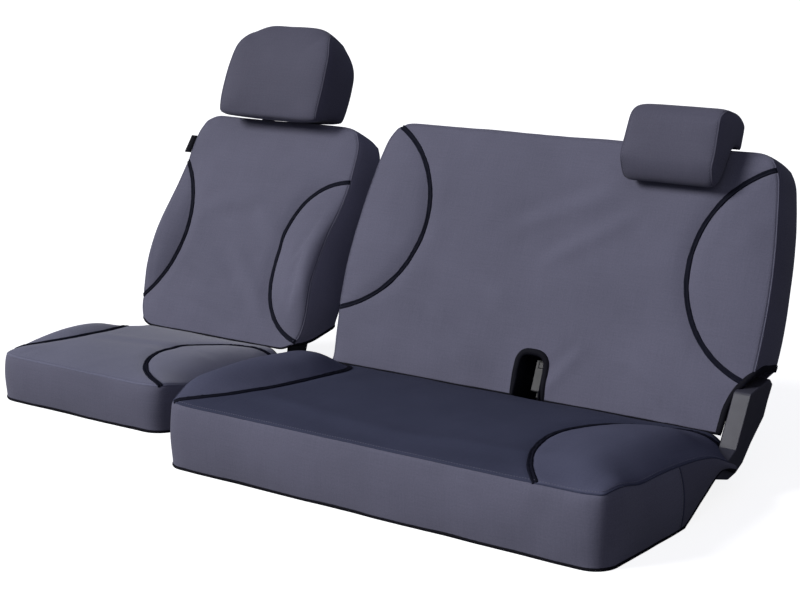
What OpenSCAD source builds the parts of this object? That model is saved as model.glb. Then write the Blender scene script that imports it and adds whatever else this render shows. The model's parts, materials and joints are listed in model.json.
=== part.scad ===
// Fitted canvas cover set on the front row of a utility vehicle: a bucket seat at -X and a
// three-quarter bench at +X, both facing -Y. Each backrest is drawn in its own frame: u across,
// v up along the front face and w out of the front face, all from the line where the back's
// front face meets the cushion.

/* [Bench] */
// Width of the bench cushion cover
bench_w = 940; // [900:5:980]
// Depth from the front hem to the backrest's front face
bench_d = 499; // [480:1:520]
// Height of the front ridge seam above the floor
bench_ridge = 128; // [120:1:136]
// Height of the cushion at the backrest
bench_rear = 97; // [92:1:102]
// Backrest tilt from vertical, in degrees
bench_tilt = 21.6; // [18:0.1:25]
// Height of the backrest along its face
bench_back_h = 522; // [500:1:540]
// Backrest thickness over the covers
bench_back_t = 92; // [90:1:100]

/* [Bucket] */
// Width of the bucket cushion cover
bucket_w = 478; // [460:2:490]
// Depth from the front hem to the backrest's front face
bucket_d = 415; // [400:1:440]
// Height of the front ridge seam above the floor
bucket_ridge = 100; // [96:1:110]
// Height of the cushion at the backrest
bucket_rear = 86; // [82:1:92]
// Backrest tilt from vertical, in degrees
bucket_tilt = 28; // [24:0.1:30]
// Height of the backrest along its face
bucket_back_h = 522; // [500:1:540]
// Backrest thickness over the covers
bucket_back_t = 92; // [90:1:100]
// How far the back bolsters stand proud of the centre panel
bucket_bolster = 36; // [20:1:45]

/* [Layout] */
// Bench centre line, from the middle of the whole set
bench_x = 321.5; // [315:0.5:335]
// Bucket centre line, from the middle of the whole set
bucket_x = -524.5; // [-545:0.5:-505]
// Bench front hem
bench_y = -450; // [-460:0.5:-430]
// Bucket front hem
bucket_y = -315; // [-330:0.5:-300]

/* [Covers] */
// Thickness of the quilted canvas
cover_t = 2; // [1.5:0.1:2.4]
// Width of the piping bands
piping_w = 7; // [5:0.5:9]
// Depth of the sewn hem bindings
hem_h = 7; // [5:0.5:9]

/* [Hinges] */
// Height of a backrest pivot above the bottom edge of the back, along its face
pivot_v = 52; // [50:0.5:56]
// Depth of a backrest pivot behind the front face
pivot_w = 40; // [38:0.5:44]
// Radius of the pivot bolts
bolt_r = 6; // [5:0.5:7]

/* [Floor mounts] */
// Radius of the floor bolt holes
floor_hole_r = 5.5; // [4.5:0.5:6]
// Bench floor bolts, across
bench_bolts_x = 500; // [460:5:520]
// Bench floor bolts, front to rear
bench_bolts_y = 440; // [420:5:450]
// Bucket floor bolts, across
bucket_bolts_x = 300; // [290:5:310]
// Bucket floor bolts, front to rear
bucket_bolts_y = 360; // [350:5:370]

/* [Hidden] */
$fn = 48;

canvas = [0.33, 0.34, 0.40];
canvas_dark = [0.16, 0.16, 0.20];
binding = [0.08, 0.08, 0.14];
steel = [0.20, 0.21, 0.22];
bright = [0.75, 0.76, 0.78];
foam = [0.80, 0.76, 0.62];
shield_grey = [0.45, 0.46, 0.48];
black_plastic = [0.10, 0.10, 0.11];

gap = 0.4;              // air between a cover and what it covers
skin = cover_t + gap;   // from a cover's outside to the foam
foam_depth = 68;        // back foam, front face to rear face
tube_r = 9;             // back frame tube
tube_w = -79;           // its centre, behind the foam
ridge_r = 28;           // rounding of the cushion's front ridge
corner_r = 70;          // rounding of the cushion's front corners in plan
skirt_end = 72;         // where the front skirt ends and the side panels start
piping_t = 3.5;         // how far the piping stands out
binding_t = 1.5;        // thickness of the sewn bindings
rail_h = 12;            // floor rails
rail_w = 40;
bar_h = 8;              // cross bars on the rails
pan_t = 2;
foam_bottom = rail_h + bar_h + pan_t + gap;
notch_r = 75;           // clearance round the pivot in the back foam
swing_r = sqrt(pow(pivot_v, 2) + pow(pivot_w, 2)) + 2; // room for the back's lower edge
plate_t = 6;            // hinge plates
tube_low_z = 34;        // rear cross tube of a base frame
tube_low_r = 13;
tube_low_y = 46;        // its place behind the backrest's front face line
post_r = 5;
guide_r = 12;
guide_len = 110;
post_w = -28;           // depth of the headrest posts behind the back's front face
post_low = 560;         // above the lower wall of a headrest cover
post_gap = 0.08;        // running clearance of the posts and pivot bolts
collar_h = 7;
lock_w = 8;
lock_l = 6;
slot_u = 14;            // centre of the buckle opening
slot_w = 72;
slot_h = 98;
slot_r = 12;
slot_depth = 62;
cut_u = 405;            // inner edge of the bench cover's hinge cut-out
cut_v = 115;
cut_r = 40;
buckle_u = 28;
rear_panel_v = 84;      // bottom edge of the rear panels
bench_post_u = 239;     // centre of the bench headrest
bench_post_half = 45;
bucket_post_half = 62;

// Half width of a backrest at height v: widest at v1, easing in above and below it.
function half_width(v) = v > $v1
  ? $hw1 - ($hw1 - $hw2) * pow((v - $v1) / ($bh - $v1), 2)
  : $hw1 - ($hw1 - $hw0) * pow(($v1 - v) / $v1, 2);

// Right half of the backrest outline, bottom to top, with a rounded top corner.
function back_side() = concat(
  [for (v = [0 : 20 : $bh - $top_r]) [half_width(v), v]],
  [for (a = [0 : 15 : 90]) [half_width($bh - $top_r) - $top_r + $top_r * cos(a),
    $bh - $top_r + $top_r * sin(a)]]);
function mirrored(p) = [for (i = [len(p) - 1 : -1 : 0]) [-p[i][0], p[i][1]]];
function back_outline() = concat(back_side(), mirrored(back_side()));

// A polygon, listed anticlockwise, moved in by d along every edge.
function unit(p) = p / norm(p);
function left_of(a, b) = let (e = unit(b - a)) [-e[1], e[0]];
function inset(p, d) = [for (i = [0 : len(p) - 1]) let (
  n = len(p), a = left_of(p[(i + n - 1) % n], p[i]), b = left_of(p[i], p[(i + 1) % n]))
  p[i] + (a + b) * d / (1 + a * b)];

// Top of a cushion in side view, from the front face over the ridge to the rear, out by off.
function cushion_top(off) = concat(
  [for (a = [180 : -15 : 90]) [ridge_r + (ridge_r + off) * cos(a),
    $ch - ridge_r + (ridge_r + off) * sin(a)]],
  [for (t = [0.1 : 0.1 : 1]) [ridge_r + t * ($cd - 4 - ridge_r),
    $ch - ($ch - $cr) * t + $crown * t * (1 - t) + off]]);
// Place of a backrest's pivot in side view.
function pivot_yz(tilt, d, rear) = [d + pivot_v * sin(tilt) + pivot_w * cos(tilt),
  rear + pivot_v * cos(tilt) - pivot_w * sin(tilt)];
function reversed(p) = [for (i = [len(p) - 1 : -1 : 0]) p[i]];

// Place of a seat on the floor, with the sizes that its parts share.
module bench() {
  $cw = bench_w; $cd = bench_d; $ch = bench_ridge; $cr = bench_rear; $crown = 100;
  $arc_x = 630; $arc_y = 275; $arc_r = 340;
  $hw0 = 455; $hw1 = 475; $hw2 = 431; $v1 = 190; $bh = bench_back_h; $top_r = 50;
  $bt = bench_back_t; $tilt = bench_tilt; $raise = 6;
  $barc_u = 513; $barc_v = 310; $barc_r = 210;
  $plate_x = 412; $rail_x = bench_bolts_x / 2; $bolts_y = bench_bolts_y;
  $sweep_y = 265; $sweep_end = 446; $core = 255;
  translate([bench_x, bench_y, 0]) children();
}
module bucket() {
  $cw = bucket_w; $cd = bucket_d; $ch = bucket_ridge; $cr = bucket_rear; $crown = 70;
  $arc_x = 428; $arc_y = 195; $arc_r = 278;
  $hw0 = 205; $hw1 = 272; $hw2 = 237; $v1 = 225; $bh = bucket_back_h; $top_r = 58;
  $bt = bucket_back_t; $tilt = bucket_tilt; $raise = bucket_bolster;
  $barc_u = 350; $barc_v = 240; $barc_r = 212;
  $plate_x = 180; $rail_x = bucket_bolts_x / 2; $bolts_y = bucket_bolts_y;
  $sweep_y = 225; $sweep_end = 372; $core = 172;
  translate([bucket_x, bucket_y, 0]) children();
}
// Frame of a backrest: u, v, w as x, y, z.
module back() translate([0, $cd, $cr]) rotate([90 - $tilt, 0, 0]) children();
module bench_back() bench() back() children();
module bucket_back() bucket() back() children();
// Side view polygons, extruded across the seat.
module across(w) rotate([90, 0, 90]) linear_extrude(w, center = true) children();

module plan(in) {
  w = $cw - 2 * in;
  r = corner_r - in;
  translate([-w / 2, corner_r]) square([w, $cd - corner_r]);
  translate([-w / 2 + r, in]) square([w - 2 * r, corner_r - in]);
  for (s = [-1, 1]) translate([s * (w / 2 - r), corner_r]) circle(r);
}
module cushion_arcs(r) for (s = [-1, 1]) translate([s * $arc_x, $arc_y]) circle(r, $fn = 200);
module tall() linear_extrude(400) children();
module cushion_side(off, bottom) across($cw + 20)
  polygon(concat([[-off, bottom]], cushion_top(off), [[$cd - 4, bottom]]));
module cushion_band(low, high) across($cw + 20)
  polygon(concat(cushion_top(high), reversed(cushion_top(low))));

// What a cushion is cut back by: the lower edge of its backrest as it swings, and the hinges.
module cushion_cuts() {
  back() translate([0, pivot_v, -pivot_w]) rotate([0, 90, 0])
    cylinder(r = swing_r, h = $cw + 40, center = true);
  for (s = [-1, 1]) translate([s * ($plate_x + 150) - 157, $sweep_end, -1]) cube([314, 200, 400]);
}
// The space below the hem, which sweeps up to the hinge along each side.
module under_hem(lift) across($cw + 60)
  polygon([[$sweep_y, -1], [$sweep_y, lift], [$sweep_end, $cr - 4 + lift], [$cd + 60, $cr + 20],
    [$cd + 60, -1]]);

module base_frame(lever) color(steel) {
  for (s = [-1, 1]) difference() {
    translate([s * $rail_x - rail_w / 2, 24, 0]) cube([rail_w, $cd + 40, rail_h]);
    for (e = [0, 1]) translate([s * $rail_x, 50 + e * $bolts_y, -1])
      cylinder(r = floor_hole_r, h = rail_h + 2);
  }
  for (y = [90, $cd - 70]) translate([-$rail_x - rail_w / 2, y, rail_h])
    cube([2 * $rail_x + rail_w, 30, bar_h]);
  for (s = [-1, 1]) translate([s * $rail_x - rail_w / 2, $cd + tube_low_y - 8, rail_h])
    cube([rail_w, 16, tube_low_z - rail_h]);
  translate([0, $cd + tube_low_y, tube_low_z]) rotate([0, 90, 0])
    cylinder(r = tube_low_r, h = 2 * ($plate_x + 2 * plate_t + 1), center = true);
  for (s = [-1, 1]) hinge_arm(s);
  if (lever) lever_bracket();
}
arm_half = 11;           // half the width of a hinge arm between its round ends
module hinge_arm(s) {
  p = pivot_yz($tilt, $cd, $cr);
  low = [$cd + tube_low_y, tube_low_z];
  side = unit([low[1] - p[1], p[0] - low[0]]) * arm_half;
  difference() {
    translate([s * ($plate_x + 3 * plate_t / 2 + 1), 0, 0]) across(plate_t) union() {
      polygon([p + side, p - side, low - side, low + side]);
      translate(p) circle(15);
      translate(low) circle(15);
    }
    translate([s * $plate_x, p[0], p[1]]) rotate([0, 90, 0])
      cylinder(r = bolt_r, h = 80, center = true);
  }
}
// Room in the bucket foam for the lever's shaft and its bracket.
module lever_room() translate([-$cw, $cd + lever_y - 16, 0]) cube([$cw - $rail_x + 2, 32, 62]);
lever_y = -50;          // lever shaft, from the backrest line
lever_z = 44;
lever_r = 5;
module lever_bracket() difference() {
  translate([-$rail_x - rail_w / 2, $cd + lever_y - 12, rail_h]) cube([10, 24, lever_z]);
  translate([0, $cd + lever_y, lever_z]) rotate([0, -90, 0]) cylinder(r = lever_r + post_gap, h = 400);
}
module seat_pan() color(steel) difference() {
  translate([-$rail_x - 10, 70, rail_h + bar_h]) cube([2 * $rail_x + 20, $cd - 110, pan_t]);
  cushion_cuts();
}
module cushion_foam() color(foam) difference() {
  intersection() {
    cushion_side(-skin, foam_bottom);
    tall() plan(skin);
  }
  cushion_cuts();
  difference() {
    under_hem(6);
    translate([-$core, 0, -2]) cube([2 * $core, $cd + 100, 400]);
  }
}
module cushion_centre() color(canvas) difference() {
  intersection() {
    cushion_band(-cover_t, 0);
    tall() difference() {
      plan(0);
      cushion_arcs($arc_r - piping_w / 2);
    }
  }
  cushion_cuts();
}
module cushion_corners() color(canvas) difference() {
  intersection() {
    cushion_band(-cover_t, 0);
    tall() intersection() {
      plan(0);
      cushion_arcs($arc_r - piping_w / 2);
    }
  }
  cushion_cuts();
}
module cushion_piping() color(binding) difference() {
  intersection() {
    cushion_band(0, piping_t);
    tall() intersection() {
      plan(0);
      difference() {
        cushion_arcs($arc_r + piping_w / 2);
        cushion_arcs($arc_r - piping_w / 2);
      }
    }
  }
  cushion_cuts();
}
// Wall of the cushion cover below its top panels.
module cushion_wall() difference() {
  intersection() {
    tall() difference() {
      plan(0);
      plan(cover_t);
    }
    union() {
      cushion_side(-cover_t, 0);
      translate([-$cw, -1, 0]) cube([2 * $cw, skirt_end + 1, $ch - ridge_r]);
    }
  }
  under_hem(0);
  cushion_cuts();
}
module front_skirt() color(canvas) intersection() {
  cushion_wall();
  translate([-$cw, -1, 0]) cube([2 * $cw, skirt_end + 1, 400]);
}
module side_panel(s) color(canvas_dark) intersection() {
  cushion_wall();
  translate([s > 0 ? 0 : -$cw, skirt_end, 0]) cube([$cw, $cd, 400]);
}
module cushion_hem() color(binding) difference() {
  intersection() {
    tall() difference() {
      plan(-binding_t);
      plan(0);
    }
    across($cw + 20) polygon([[-20, 0], [$sweep_y, 0], [$sweep_end, $cr - 4],
      [$sweep_end, $cr - 4 + hem_h], [$sweep_y, hem_h], [-20, hem_h]]);
  }
  cushion_cuts();
}
strap_w = 25;
strap_z = 2;
module straps() color(binding) for (s = [-1, 1])
  translate([s * $rail_x / 2 - strap_w / 2, cover_t, strap_z])
    cube([strap_w, $cd + tube_low_y - tube_low_r - cover_t - 2, 1.6]);
bolt_head = 5;
module pivot_bolts() color(bright) {
  p = pivot_yz($tilt, $cd, $cr);
  for (s = [-1, 1]) translate([s * $plate_x, p[0], p[1]]) rotate([0, s * 90, 0]) {
    translate([0, 0, -bolt_head]) cylinder(r = bolt_r + 4, h = bolt_head - 0.2);
    translate([0, 0, -1]) cylinder(r = bolt_r, h = 2 * plate_t + 2);
    translate([0, 0, 2 * plate_t + 1]) cylinder(r = bolt_r + 4, h = bolt_head);
  }
}

// Hinge shield: a shell open towards the seat. It leans back with the backrest, and bulges
// behind the pivot. Its corners are given from the pivot, rearwards and up.
shield_x = 430;
shield_w = 34;
shield_wall = 3;
shield_side = [[-167, -79], [-116, -93], [-86, -88], [-60, -76], [-30, -48], [20, -10], [34, 16],
  [52, 44], [40, 56], [-38, 45], [-89, -45]];
module shield_shape(in) translate(pivot_yz($tilt, $cd, $cr)) polygon(inset(shield_side, in));
module bench_shield() color(shield_grey) difference() {
  translate([shield_x + shield_w / 2, 0, 0]) across(shield_w) shield_shape(0);
  translate([shield_x + shield_w / 2 - shield_wall, 0, 0]) across(shield_w) shield_shape(shield_wall);
}
bucket_shield_r = 33;
module bucket_shields() color(black_plastic) {
  p = pivot_yz($tilt, $cd, $cr);
  for (s = [-1, 1]) difference() {
    translate([s * ($plate_x + 2 * plate_t + 8), 0, 0]) across(8) union() {
      translate(p) circle(bucket_shield_r);
      polygon([p + [-bucket_shield_r, 0], p + [-bucket_shield_r - 9, -60], p + [10, -62],
        p + [bucket_shield_r, 0]]);
    }
    translate([s * ($plate_x + 2 * plate_t), p[0], p[1]]) rotate([0, 90, 0])
      cylinder(r = bolt_r + 5, h = 14, center = true);
  }
}
module lever() color(black_plastic) {
  x = -$cw / 2 - 14;
  translate([x, $cd + lever_y, lever_z]) rotate([0, 90, 0]) {
    cylinder(r = lever_r, h = -x - $rail_x - rail_w / 2 + 20);
    cylinder(r = 11, h = 7);
  }
  translate([x, $cd + lever_y - 118, lever_z - 7]) cube([7, 118, 14]);
  translate([x, $cd + lever_y - 118, lever_z]) rotate([0, 90, 0]) cylinder(r = 9, h = 7);
}

module outline(in) polygon(inset(back_outline(), in));
module back_arcs(r) for (s = [-1, 1]) translate([s * $barc_u, $barc_v]) circle(r, $fn = 200);
module slab(w0, w1) translate([0, 0, w0]) linear_extrude(w1 - w0) children();
// Buckle opening, larger by g.
module slot_shape(g) {
  translate([slot_u - slot_w / 2 - g, -20]) square([slot_w + 2 * g, slot_h - slot_r + 20]);
  translate([slot_u - slot_w / 2 + slot_r, 0])
    square([slot_w - 2 * slot_r, slot_h + g]);
  for (s = [-1, 1]) translate([slot_u + s * (slot_w / 2 - slot_r), slot_h - slot_r]) circle(slot_r + g);
}
// Hinge cut-out at the right foot of the bench back cover, larger by g.
module cut_shape(g) {
  translate([cut_u - g, -20]) square([200, cut_v - cut_r + 20]);
  translate([cut_u + cut_r, -20]) square([200, cut_v + g + 20]);
  translate([cut_u + cut_r, cut_v - cut_r]) circle(cut_r + g);
}
module pivot_room(s) translate([s * (cut_u + 120), pivot_v, -pivot_w]) rotate([0, 90, 0])
  cylinder(r = notch_r, h = 200, center = true);
module bench_cut() {
  slab(-200, 60) cut_shape(0);
  pivot_room(1);
}
module guide_holes(u0, half) for (s = [-1, 1])
  translate([u0 + s * half, $bh + 1, post_w]) rotate([90, 0, 0]) cylinder(r = guide_r, h = guide_len + 2);

module tube(a, b) {
  d = b - a;
  translate(a) rotate([0, acos(d[2] / norm(d)), atan2(d[1], d[0])]) cylinder(r = tube_r, h = norm(d));
}
// Tube loop behind the foam with a hinge plate at each foot.
module back_frame(side_u) color(steel) {
  low = 40;
  high = $bh - 70;
  bend = 40;
  for (s = [-1, 1]) {
    tube([s * side_u, low, tube_w], [s * side_u, high - bend, tube_w]);
    translate([s * (side_u - bend), high - bend, tube_w]) rotate([0, 0, s > 0 ? 0 : 90])
      rotate_extrude(angle = 90) translate([bend, 0]) circle(tube_r);
    translate([s * side_u, low, tube_w]) sphere(tube_r);
    hinge_plate(s, side_u);
  }
  tube([-side_u, low, tube_w], [side_u, low, tube_w]);
  tube([-side_u + bend, high, tube_w], [side_u - bend, high, tube_w]);
}
module hinge_plate(s, side_u) difference() {
  union() {
    translate([s * $plate_x + (s > 0 ? 0 : -plate_t), 0, 0]) rotate([90, 0, 90])
      linear_extrude(plate_t) union() {
        translate([pivot_v, -pivot_w]) circle(16);
        polygon([[pivot_v + 8, -pivot_w + 14], [pivot_v - 12, -pivot_w - 10], [90, tube_w - tube_r],
          [122, tube_w - tube_r], [122, -foam_depth - 2]]);
      }
    translate([s > 0 ? side_u : -$plate_x - 1, 94, tube_w - 8]) cube([$plate_x + 1 - side_u, 24, 14]);
  }
  translate([0, pivot_v, -pivot_w]) rotate([0, 90, 0])
    cylinder(r = bolt_r + post_gap, h = 2 * $plate_x + 60, center = true);
}

module foam_slab() {
  slab(-foam_depth, -skin) outline(skin);
  slab(-skin - 1, $raise - skin) intersection() {
    outline(skin);
    back_arcs($barc_r - piping_w / 2 - gap);
  }
}
// Room in the foot of a back foam for the hinge plates and arms.
notch_in = 8;           // how far inside the hinge plates it starts
notch_foot_r = 36;
module foot_notches() for (s = [-1, 1]) translate([s * ($plate_x - notch_in + 150), 0, 0]) {
  translate([0, pivot_v, -pivot_w]) rotate([0, 90, 0])
    cylinder(r = notch_foot_r, h = 300, center = true);
  rotate([90, 0, 90]) linear_extrude(300, center = true)
    polygon([[-40, -4], [pivot_v, -4], [rear_panel_v + 42, 2 - foam_depth],
      [rear_panel_v + 42, -$bt], [-40, -$bt]]);
}
module bench_back_foam() color(foam) difference() {
  foam_slab();
  slab(-slot_depth, 60) slot_shape(gap);
  translate([buckle_u - 13, 4, -200]) cube([26, 12, 210]);
  foot_notches();
  bench_cut();
  guide_holes(bench_post_u, bench_post_half);
}
module bucket_back_foam() color(foam) difference() {
  foam_slab();
  foot_notches();
  guide_holes(0, bucket_post_half);
}
module centre_panel() color(canvas) slab(-cover_t, 0) difference() {
  outline(0);
  back_arcs($barc_r - piping_w / 2);
}
module side_panels() color(canvas) slab($raise - cover_t, $raise) intersection() {
  outline(0);
  back_arcs($barc_r - piping_w / 2);
}
module gusset() color(canvas_dark) {
  slab(-$bt + cover_t, -cover_t) difference() {
    outline(0);
    outline(cover_t);
    translate([-1000, -10]) square([2000, 10 + cover_t + 1]);
  }
  slab(-cover_t, $raise - cover_t) intersection() {
    difference() {
      outline(0);
      outline(cover_t);
    }
    back_arcs($barc_r - piping_w / 2);
  }
}
module rear_panel() color(canvas_dark) slab(-$bt, -$bt + cover_t) difference() {
  outline(0);
  translate([-1000, -10]) square([2000, rear_panel_v + 10]);
}
module back_piping() color(binding) slab(0, piping_t) intersection() {
  outline(0);
  difference() {
    back_arcs($barc_r + piping_w / 2);
    back_arcs($barc_r - piping_w / 2 + 0.01);
  }
}
// Foot of the gusset, swept up to the rear so that the back can recline over its hinge.
module gusset_sweep() rotate([90, 0, 90]) linear_extrude(2000, center = true)
  polygon([[-1, -cover_t - 4], [rear_panel_v + 6, -$bt - 1], [-30, -$bt - 1], [-30, -cover_t - 4]]);
module bench_centre_panel() difference() {
  centre_panel();
  slab(-9, 9) slot_shape(0);
  bench_cut();
}
module bench_corner_panels() difference() {
  side_panels();
  bench_cut();
}
module bench_gusset() difference() {
  gusset();
  bench_cut();
  guide_holes(bench_post_u, bench_post_half);
}
module bench_rear_panel() difference() {
  rear_panel();
  bench_cut();
}
module bench_piping() difference() {
  back_piping();
  bench_cut();
}
module bucket_gusset() difference() {
  gusset();
  gusset_sweep();
  guide_holes(0, bucket_post_half);
}
module bucket_cushion_foam() difference() {
  cushion_foam();
  lever_room();
}

module guides(u0, half) color(black_plastic) for (s = [-1, 1]) difference() {
  translate([u0 + s * half, 0, post_w]) rotate([-90, 0, 0]) {
    translate([0, 0, $bh - guide_len]) cylinder(r = guide_r - 0.1, h = guide_len);
    translate([0, 0, $bh]) cylinder(r = guide_r + 3, h = collar_h);
  }
  translate([u0 + s * half, 0, post_w]) rotate([-90, 0, 0]) translate([0, 0, $bh - guide_len - 1])
    cylinder(r = post_r + post_gap, h = guide_len + collar_h + 2);
  if (s > 0) translate([u0 + half + 9, $bh + 1, post_w - lock_w / 2 - 0.2])
    cube([20, collar_h, lock_w + 0.4]);
}
module lock_button(u0, half) color(black_plastic)
  translate([u0 + half + 12.5, $bh + 1.2, post_w - lock_w / 2]) cube([lock_l, collar_h - 1.6, lock_w]);
module posts(u0, half, v0, v1) color(bright) for (s = [-1, 1])
  translate([u0 + s * half, v0, post_w]) rotate([-90, 0, 0]) cylinder(r = post_r, h = v1 - v0);
module post_holes(u0, half, v1) for (s = [-1, 1])
  translate([u0 + s * half, 0, post_w]) rotate([-90, 0, 0]) cylinder(r = post_r, h = v1);
// Side views of the headrests, as v and w.
bench_rest = [[424, 9], [531, 9], [531, -44], [550, -46], [566, -40], [576, -24], [579, 0],
  [578, 36], [572, 56], [556, 68], [520, 74], [470, 73], [440, 64], [426, 44]];
bench_rest_w = 208;
bucket_rest = [[531, 36], [531, -66], [560, -66], [640, -44], [715, -18], [738, 0],
  [748, 28], [746, 62], [730, 80], [690, 84], [620, 70], [560, 50]];
bucket_rest_w = 290;
module rest_solid(side, w, in) rotate([90, 0, 90]) linear_extrude(w - 2 * in, center = true)
  polygon(inset(side, in));
module rest_core(side, u0, w, half, v1) color(foam) difference() {
  translate([u0, 0, 0]) rest_solid(side, w, skin);
  post_holes(u0, half, v1);
}
module rest_wrap(side, u0, w, half) color(canvas) difference() {
  translate([u0, 0, 0]) rest_solid(side, w, 0);
  translate([u0, 0, 0]) rest_solid(side, w + 2 * cover_t + 2, cover_t);
  post_holes(u0, half, post_low);
  translate([u0 - w, 0, -200]) cube([w / 2 + cover_t, 1000, 400]);
  translate([u0 + w / 2 - cover_t, 0, -200]) cube([w, 1000, 400]);
}
module rest_sides(side, u0, w) color(canvas_dark) for (s = [-1, 1])
  translate([u0 + s * (w / 2 - cover_t / 2), 0, 0]) rest_solid(side, cover_t, 0);

module bench_hem() color(binding) difference() {
  slab(0, binding_t) intersection() {
    outline(0);
    union() {
      translate([-1000, 0]) square([2000, hem_h]);
      cut_shape(hem_h);
    }
  }
  slab(-1, 9) cut_shape(0);
  slab(-1, 9) slot_shape(hem_h);
  slab(-1, 9) back_arcs($barc_r + piping_w / 2);
}
module buckle_binding() color(binding) slab(0, binding_t) difference() {
  intersection() {
    slot_shape(hem_h - 0.1);
    translate([-1000, 0]) square([2000, 1000]);
  }
  slot_shape(0);
}
buckle_w = 38;
buckle_h = 62;
buckle_t = 22;
buckle_v = 16;
button_travel = 4;
buckle_face = -9;       // front of the housing, behind the back's front face
button_w = 24;
button_h = 12;
button_t = 5;
tongue_t = 4;
module buckle_housing() color(black_plastic) difference() {
  translate([buckle_u - buckle_w / 2, buckle_v, buckle_face - buckle_t])
    cube([buckle_w, buckle_h, buckle_t]);
  translate([buckle_u - button_w / 2, buckle_v + buckle_h - 16, buckle_face - button_t - button_travel])
    cube([button_w, button_h, 20]);
  translate([buckle_u - 11, buckle_v + buckle_h - 30, buckle_face - buckle_t + 4])
    cube([22, 40, tongue_t]);
}
module buckle_stalk() color(binding) {
  translate([buckle_u - 12, 6, tube_w]) cube([24, buckle_v - 6, buckle_face - buckle_t / 2 - tube_w]);
  translate([buckle_u - 12, 6, tube_w - 3]) cube([24, 25, 6]);
}
module buckle_button() color(shield_grey)
  translate([buckle_u - button_w / 2 + 0.4, buckle_v + buckle_h - 15.6, buckle_face - button_t + 1.2])
    cube([button_w - 0.8, button_h - 0.8, button_t]);
module label_tag() color(black_plastic) translate([-half_width(440) - 11.5, 432, -6])
  rotate([0, 0, -8]) cube([8.6, 26, 1.6]);
module bucket_hem() color(binding) slab(0, binding_t) intersection() {
  outline(0);
  translate([-1000, 0]) square([2000, hem_h]);
}

bench() base_frame(false);  // bench_base_frame
bench() seat_pan();  // bench_seat_pan
bench() cushion_foam();  // bench_cushion_foam
bench() cushion_centre();  // bench_cushion_centre_panel
bench() cushion_corners();  // bench_cushion_corner_panels
bench() front_skirt();  // bench_cushion_front_skirt
bench() side_panel(-1);  // bench_cushion_side_left
bench() side_panel(1);  // bench_cushion_side_right
bench() cushion_piping();  // bench_cushion_piping
bench() cushion_hem();  // bench_cushion_hem
bench() straps();  // bench_cushion_straps
bench() pivot_bolts();  // bench_pivot_bolts
bench() bench_shield();  // bench_hinge_shield
bench_back() back_frame(395);  // bench_back_frame
bench_back() bench_back_foam();
bench_back() bench_centre_panel();  // bench_back_centre_panel
bench_back() bench_corner_panels();  // bench_back_corner_panels
bench_back() bench_gusset();  // bench_back_gusset
bench_back() bench_rear_panel();  // bench_back_rear_panel
bench_back() bench_piping();  // bench_back_piping
bench_back() bench_hem();  // bench_back_hem
bench_back() buckle_binding();  // bench_buckle_binding
bench_back() buckle_housing();  // bench_buckle_housing
bench_back() buckle_stalk();  // bench_buckle_stalk
bench_back() buckle_button();  // bench_buckle_button
bench_back() guides(bench_post_u, bench_post_half);  // bench_headrest_guides
bench_back() lock_button(bench_post_u, bench_post_half);  // bench_headrest_lock
bench_back()  // bench_headrest_posts
  posts(bench_post_u, bench_post_half, 425, 566);
bench_back()  // bench_headrest_core
  rest_core(bench_rest, bench_post_u, bench_rest_w, bench_post_half, 566);
bench_back()  // bench_headrest_wrap
  rest_wrap(bench_rest, bench_post_u, bench_rest_w, bench_post_half);
bench_back()  // bench_headrest_sides
  rest_sides(bench_rest, bench_post_u, bench_rest_w);
bucket() base_frame(true);  // bucket_base_frame
bucket() seat_pan();  // bucket_seat_pan
bucket() bucket_cushion_foam();
bucket() cushion_centre();  // bucket_cushion_centre_panel
bucket() cushion_corners();  // bucket_cushion_corner_panels
bucket() front_skirt();  // bucket_cushion_front_skirt
bucket() side_panel(-1);  // bucket_cushion_side_left
bucket() side_panel(1);  // bucket_cushion_side_right
bucket() cushion_piping();  // bucket_cushion_piping
bucket() cushion_hem();  // bucket_cushion_hem
bucket() straps();  // bucket_cushion_straps
bucket() pivot_bolts();  // bucket_pivot_bolts
bucket() bucket_shields();  // bucket_hinge_shields
bucket() lever();  // bucket_recliner_lever
bucket_back() back_frame(165);  // bucket_back_frame
bucket_back() bucket_back_foam();
bucket_back() centre_panel();  // bucket_back_centre_panel
bucket_back() side_panels();  // bucket_back_bolsters
bucket_back() bucket_gusset();  // bucket_back_gusset
bucket_back() rear_panel();  // bucket_back_rear_panel
bucket_back() back_piping();  // bucket_back_piping
bucket_back() bucket_hem();  // bucket_back_hem
bucket_back() label_tag();  // bucket_label_tag
bucket_back() guides(0, bucket_post_half);  // bucket_headrest_guides
bucket_back() lock_button(0, bucket_post_half);  // bucket_headrest_lock
bucket_back() posts(0, bucket_post_half, 420, 640);  // bucket_headrest_posts
bucket_back()  // bucket_headrest_core
  rest_core(bucket_rest, 0, bucket_rest_w, bucket_post_half, 640);
bucket_back()  // bucket_headrest_wrap
  rest_wrap(bucket_rest, 0, bucket_rest_w, bucket_post_half);
bucket_back()  // bucket_headrest_sides
  rest_sides(bucket_rest, 0, bucket_rest_w);
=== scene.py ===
"""Sewn canvas covers on a bucket seat and a three-quarter bench, dressed and lit.

Each seat is worked in metres in two frames: the seat's own (across, rearwards, up) for its
cushion, and the backrest's (across, up the face, out of the face) for the back and headrest.
"""

import json
import logging
import math
from collections.abc import Callable, Iterable, Sequence
from dataclasses import dataclass, field
from enum import IntEnum

import bmesh
import bpy
import numpy as np
from mathutils import Matrix, Vector, noise
from mathutils.bvhtree import BVHTree


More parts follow.
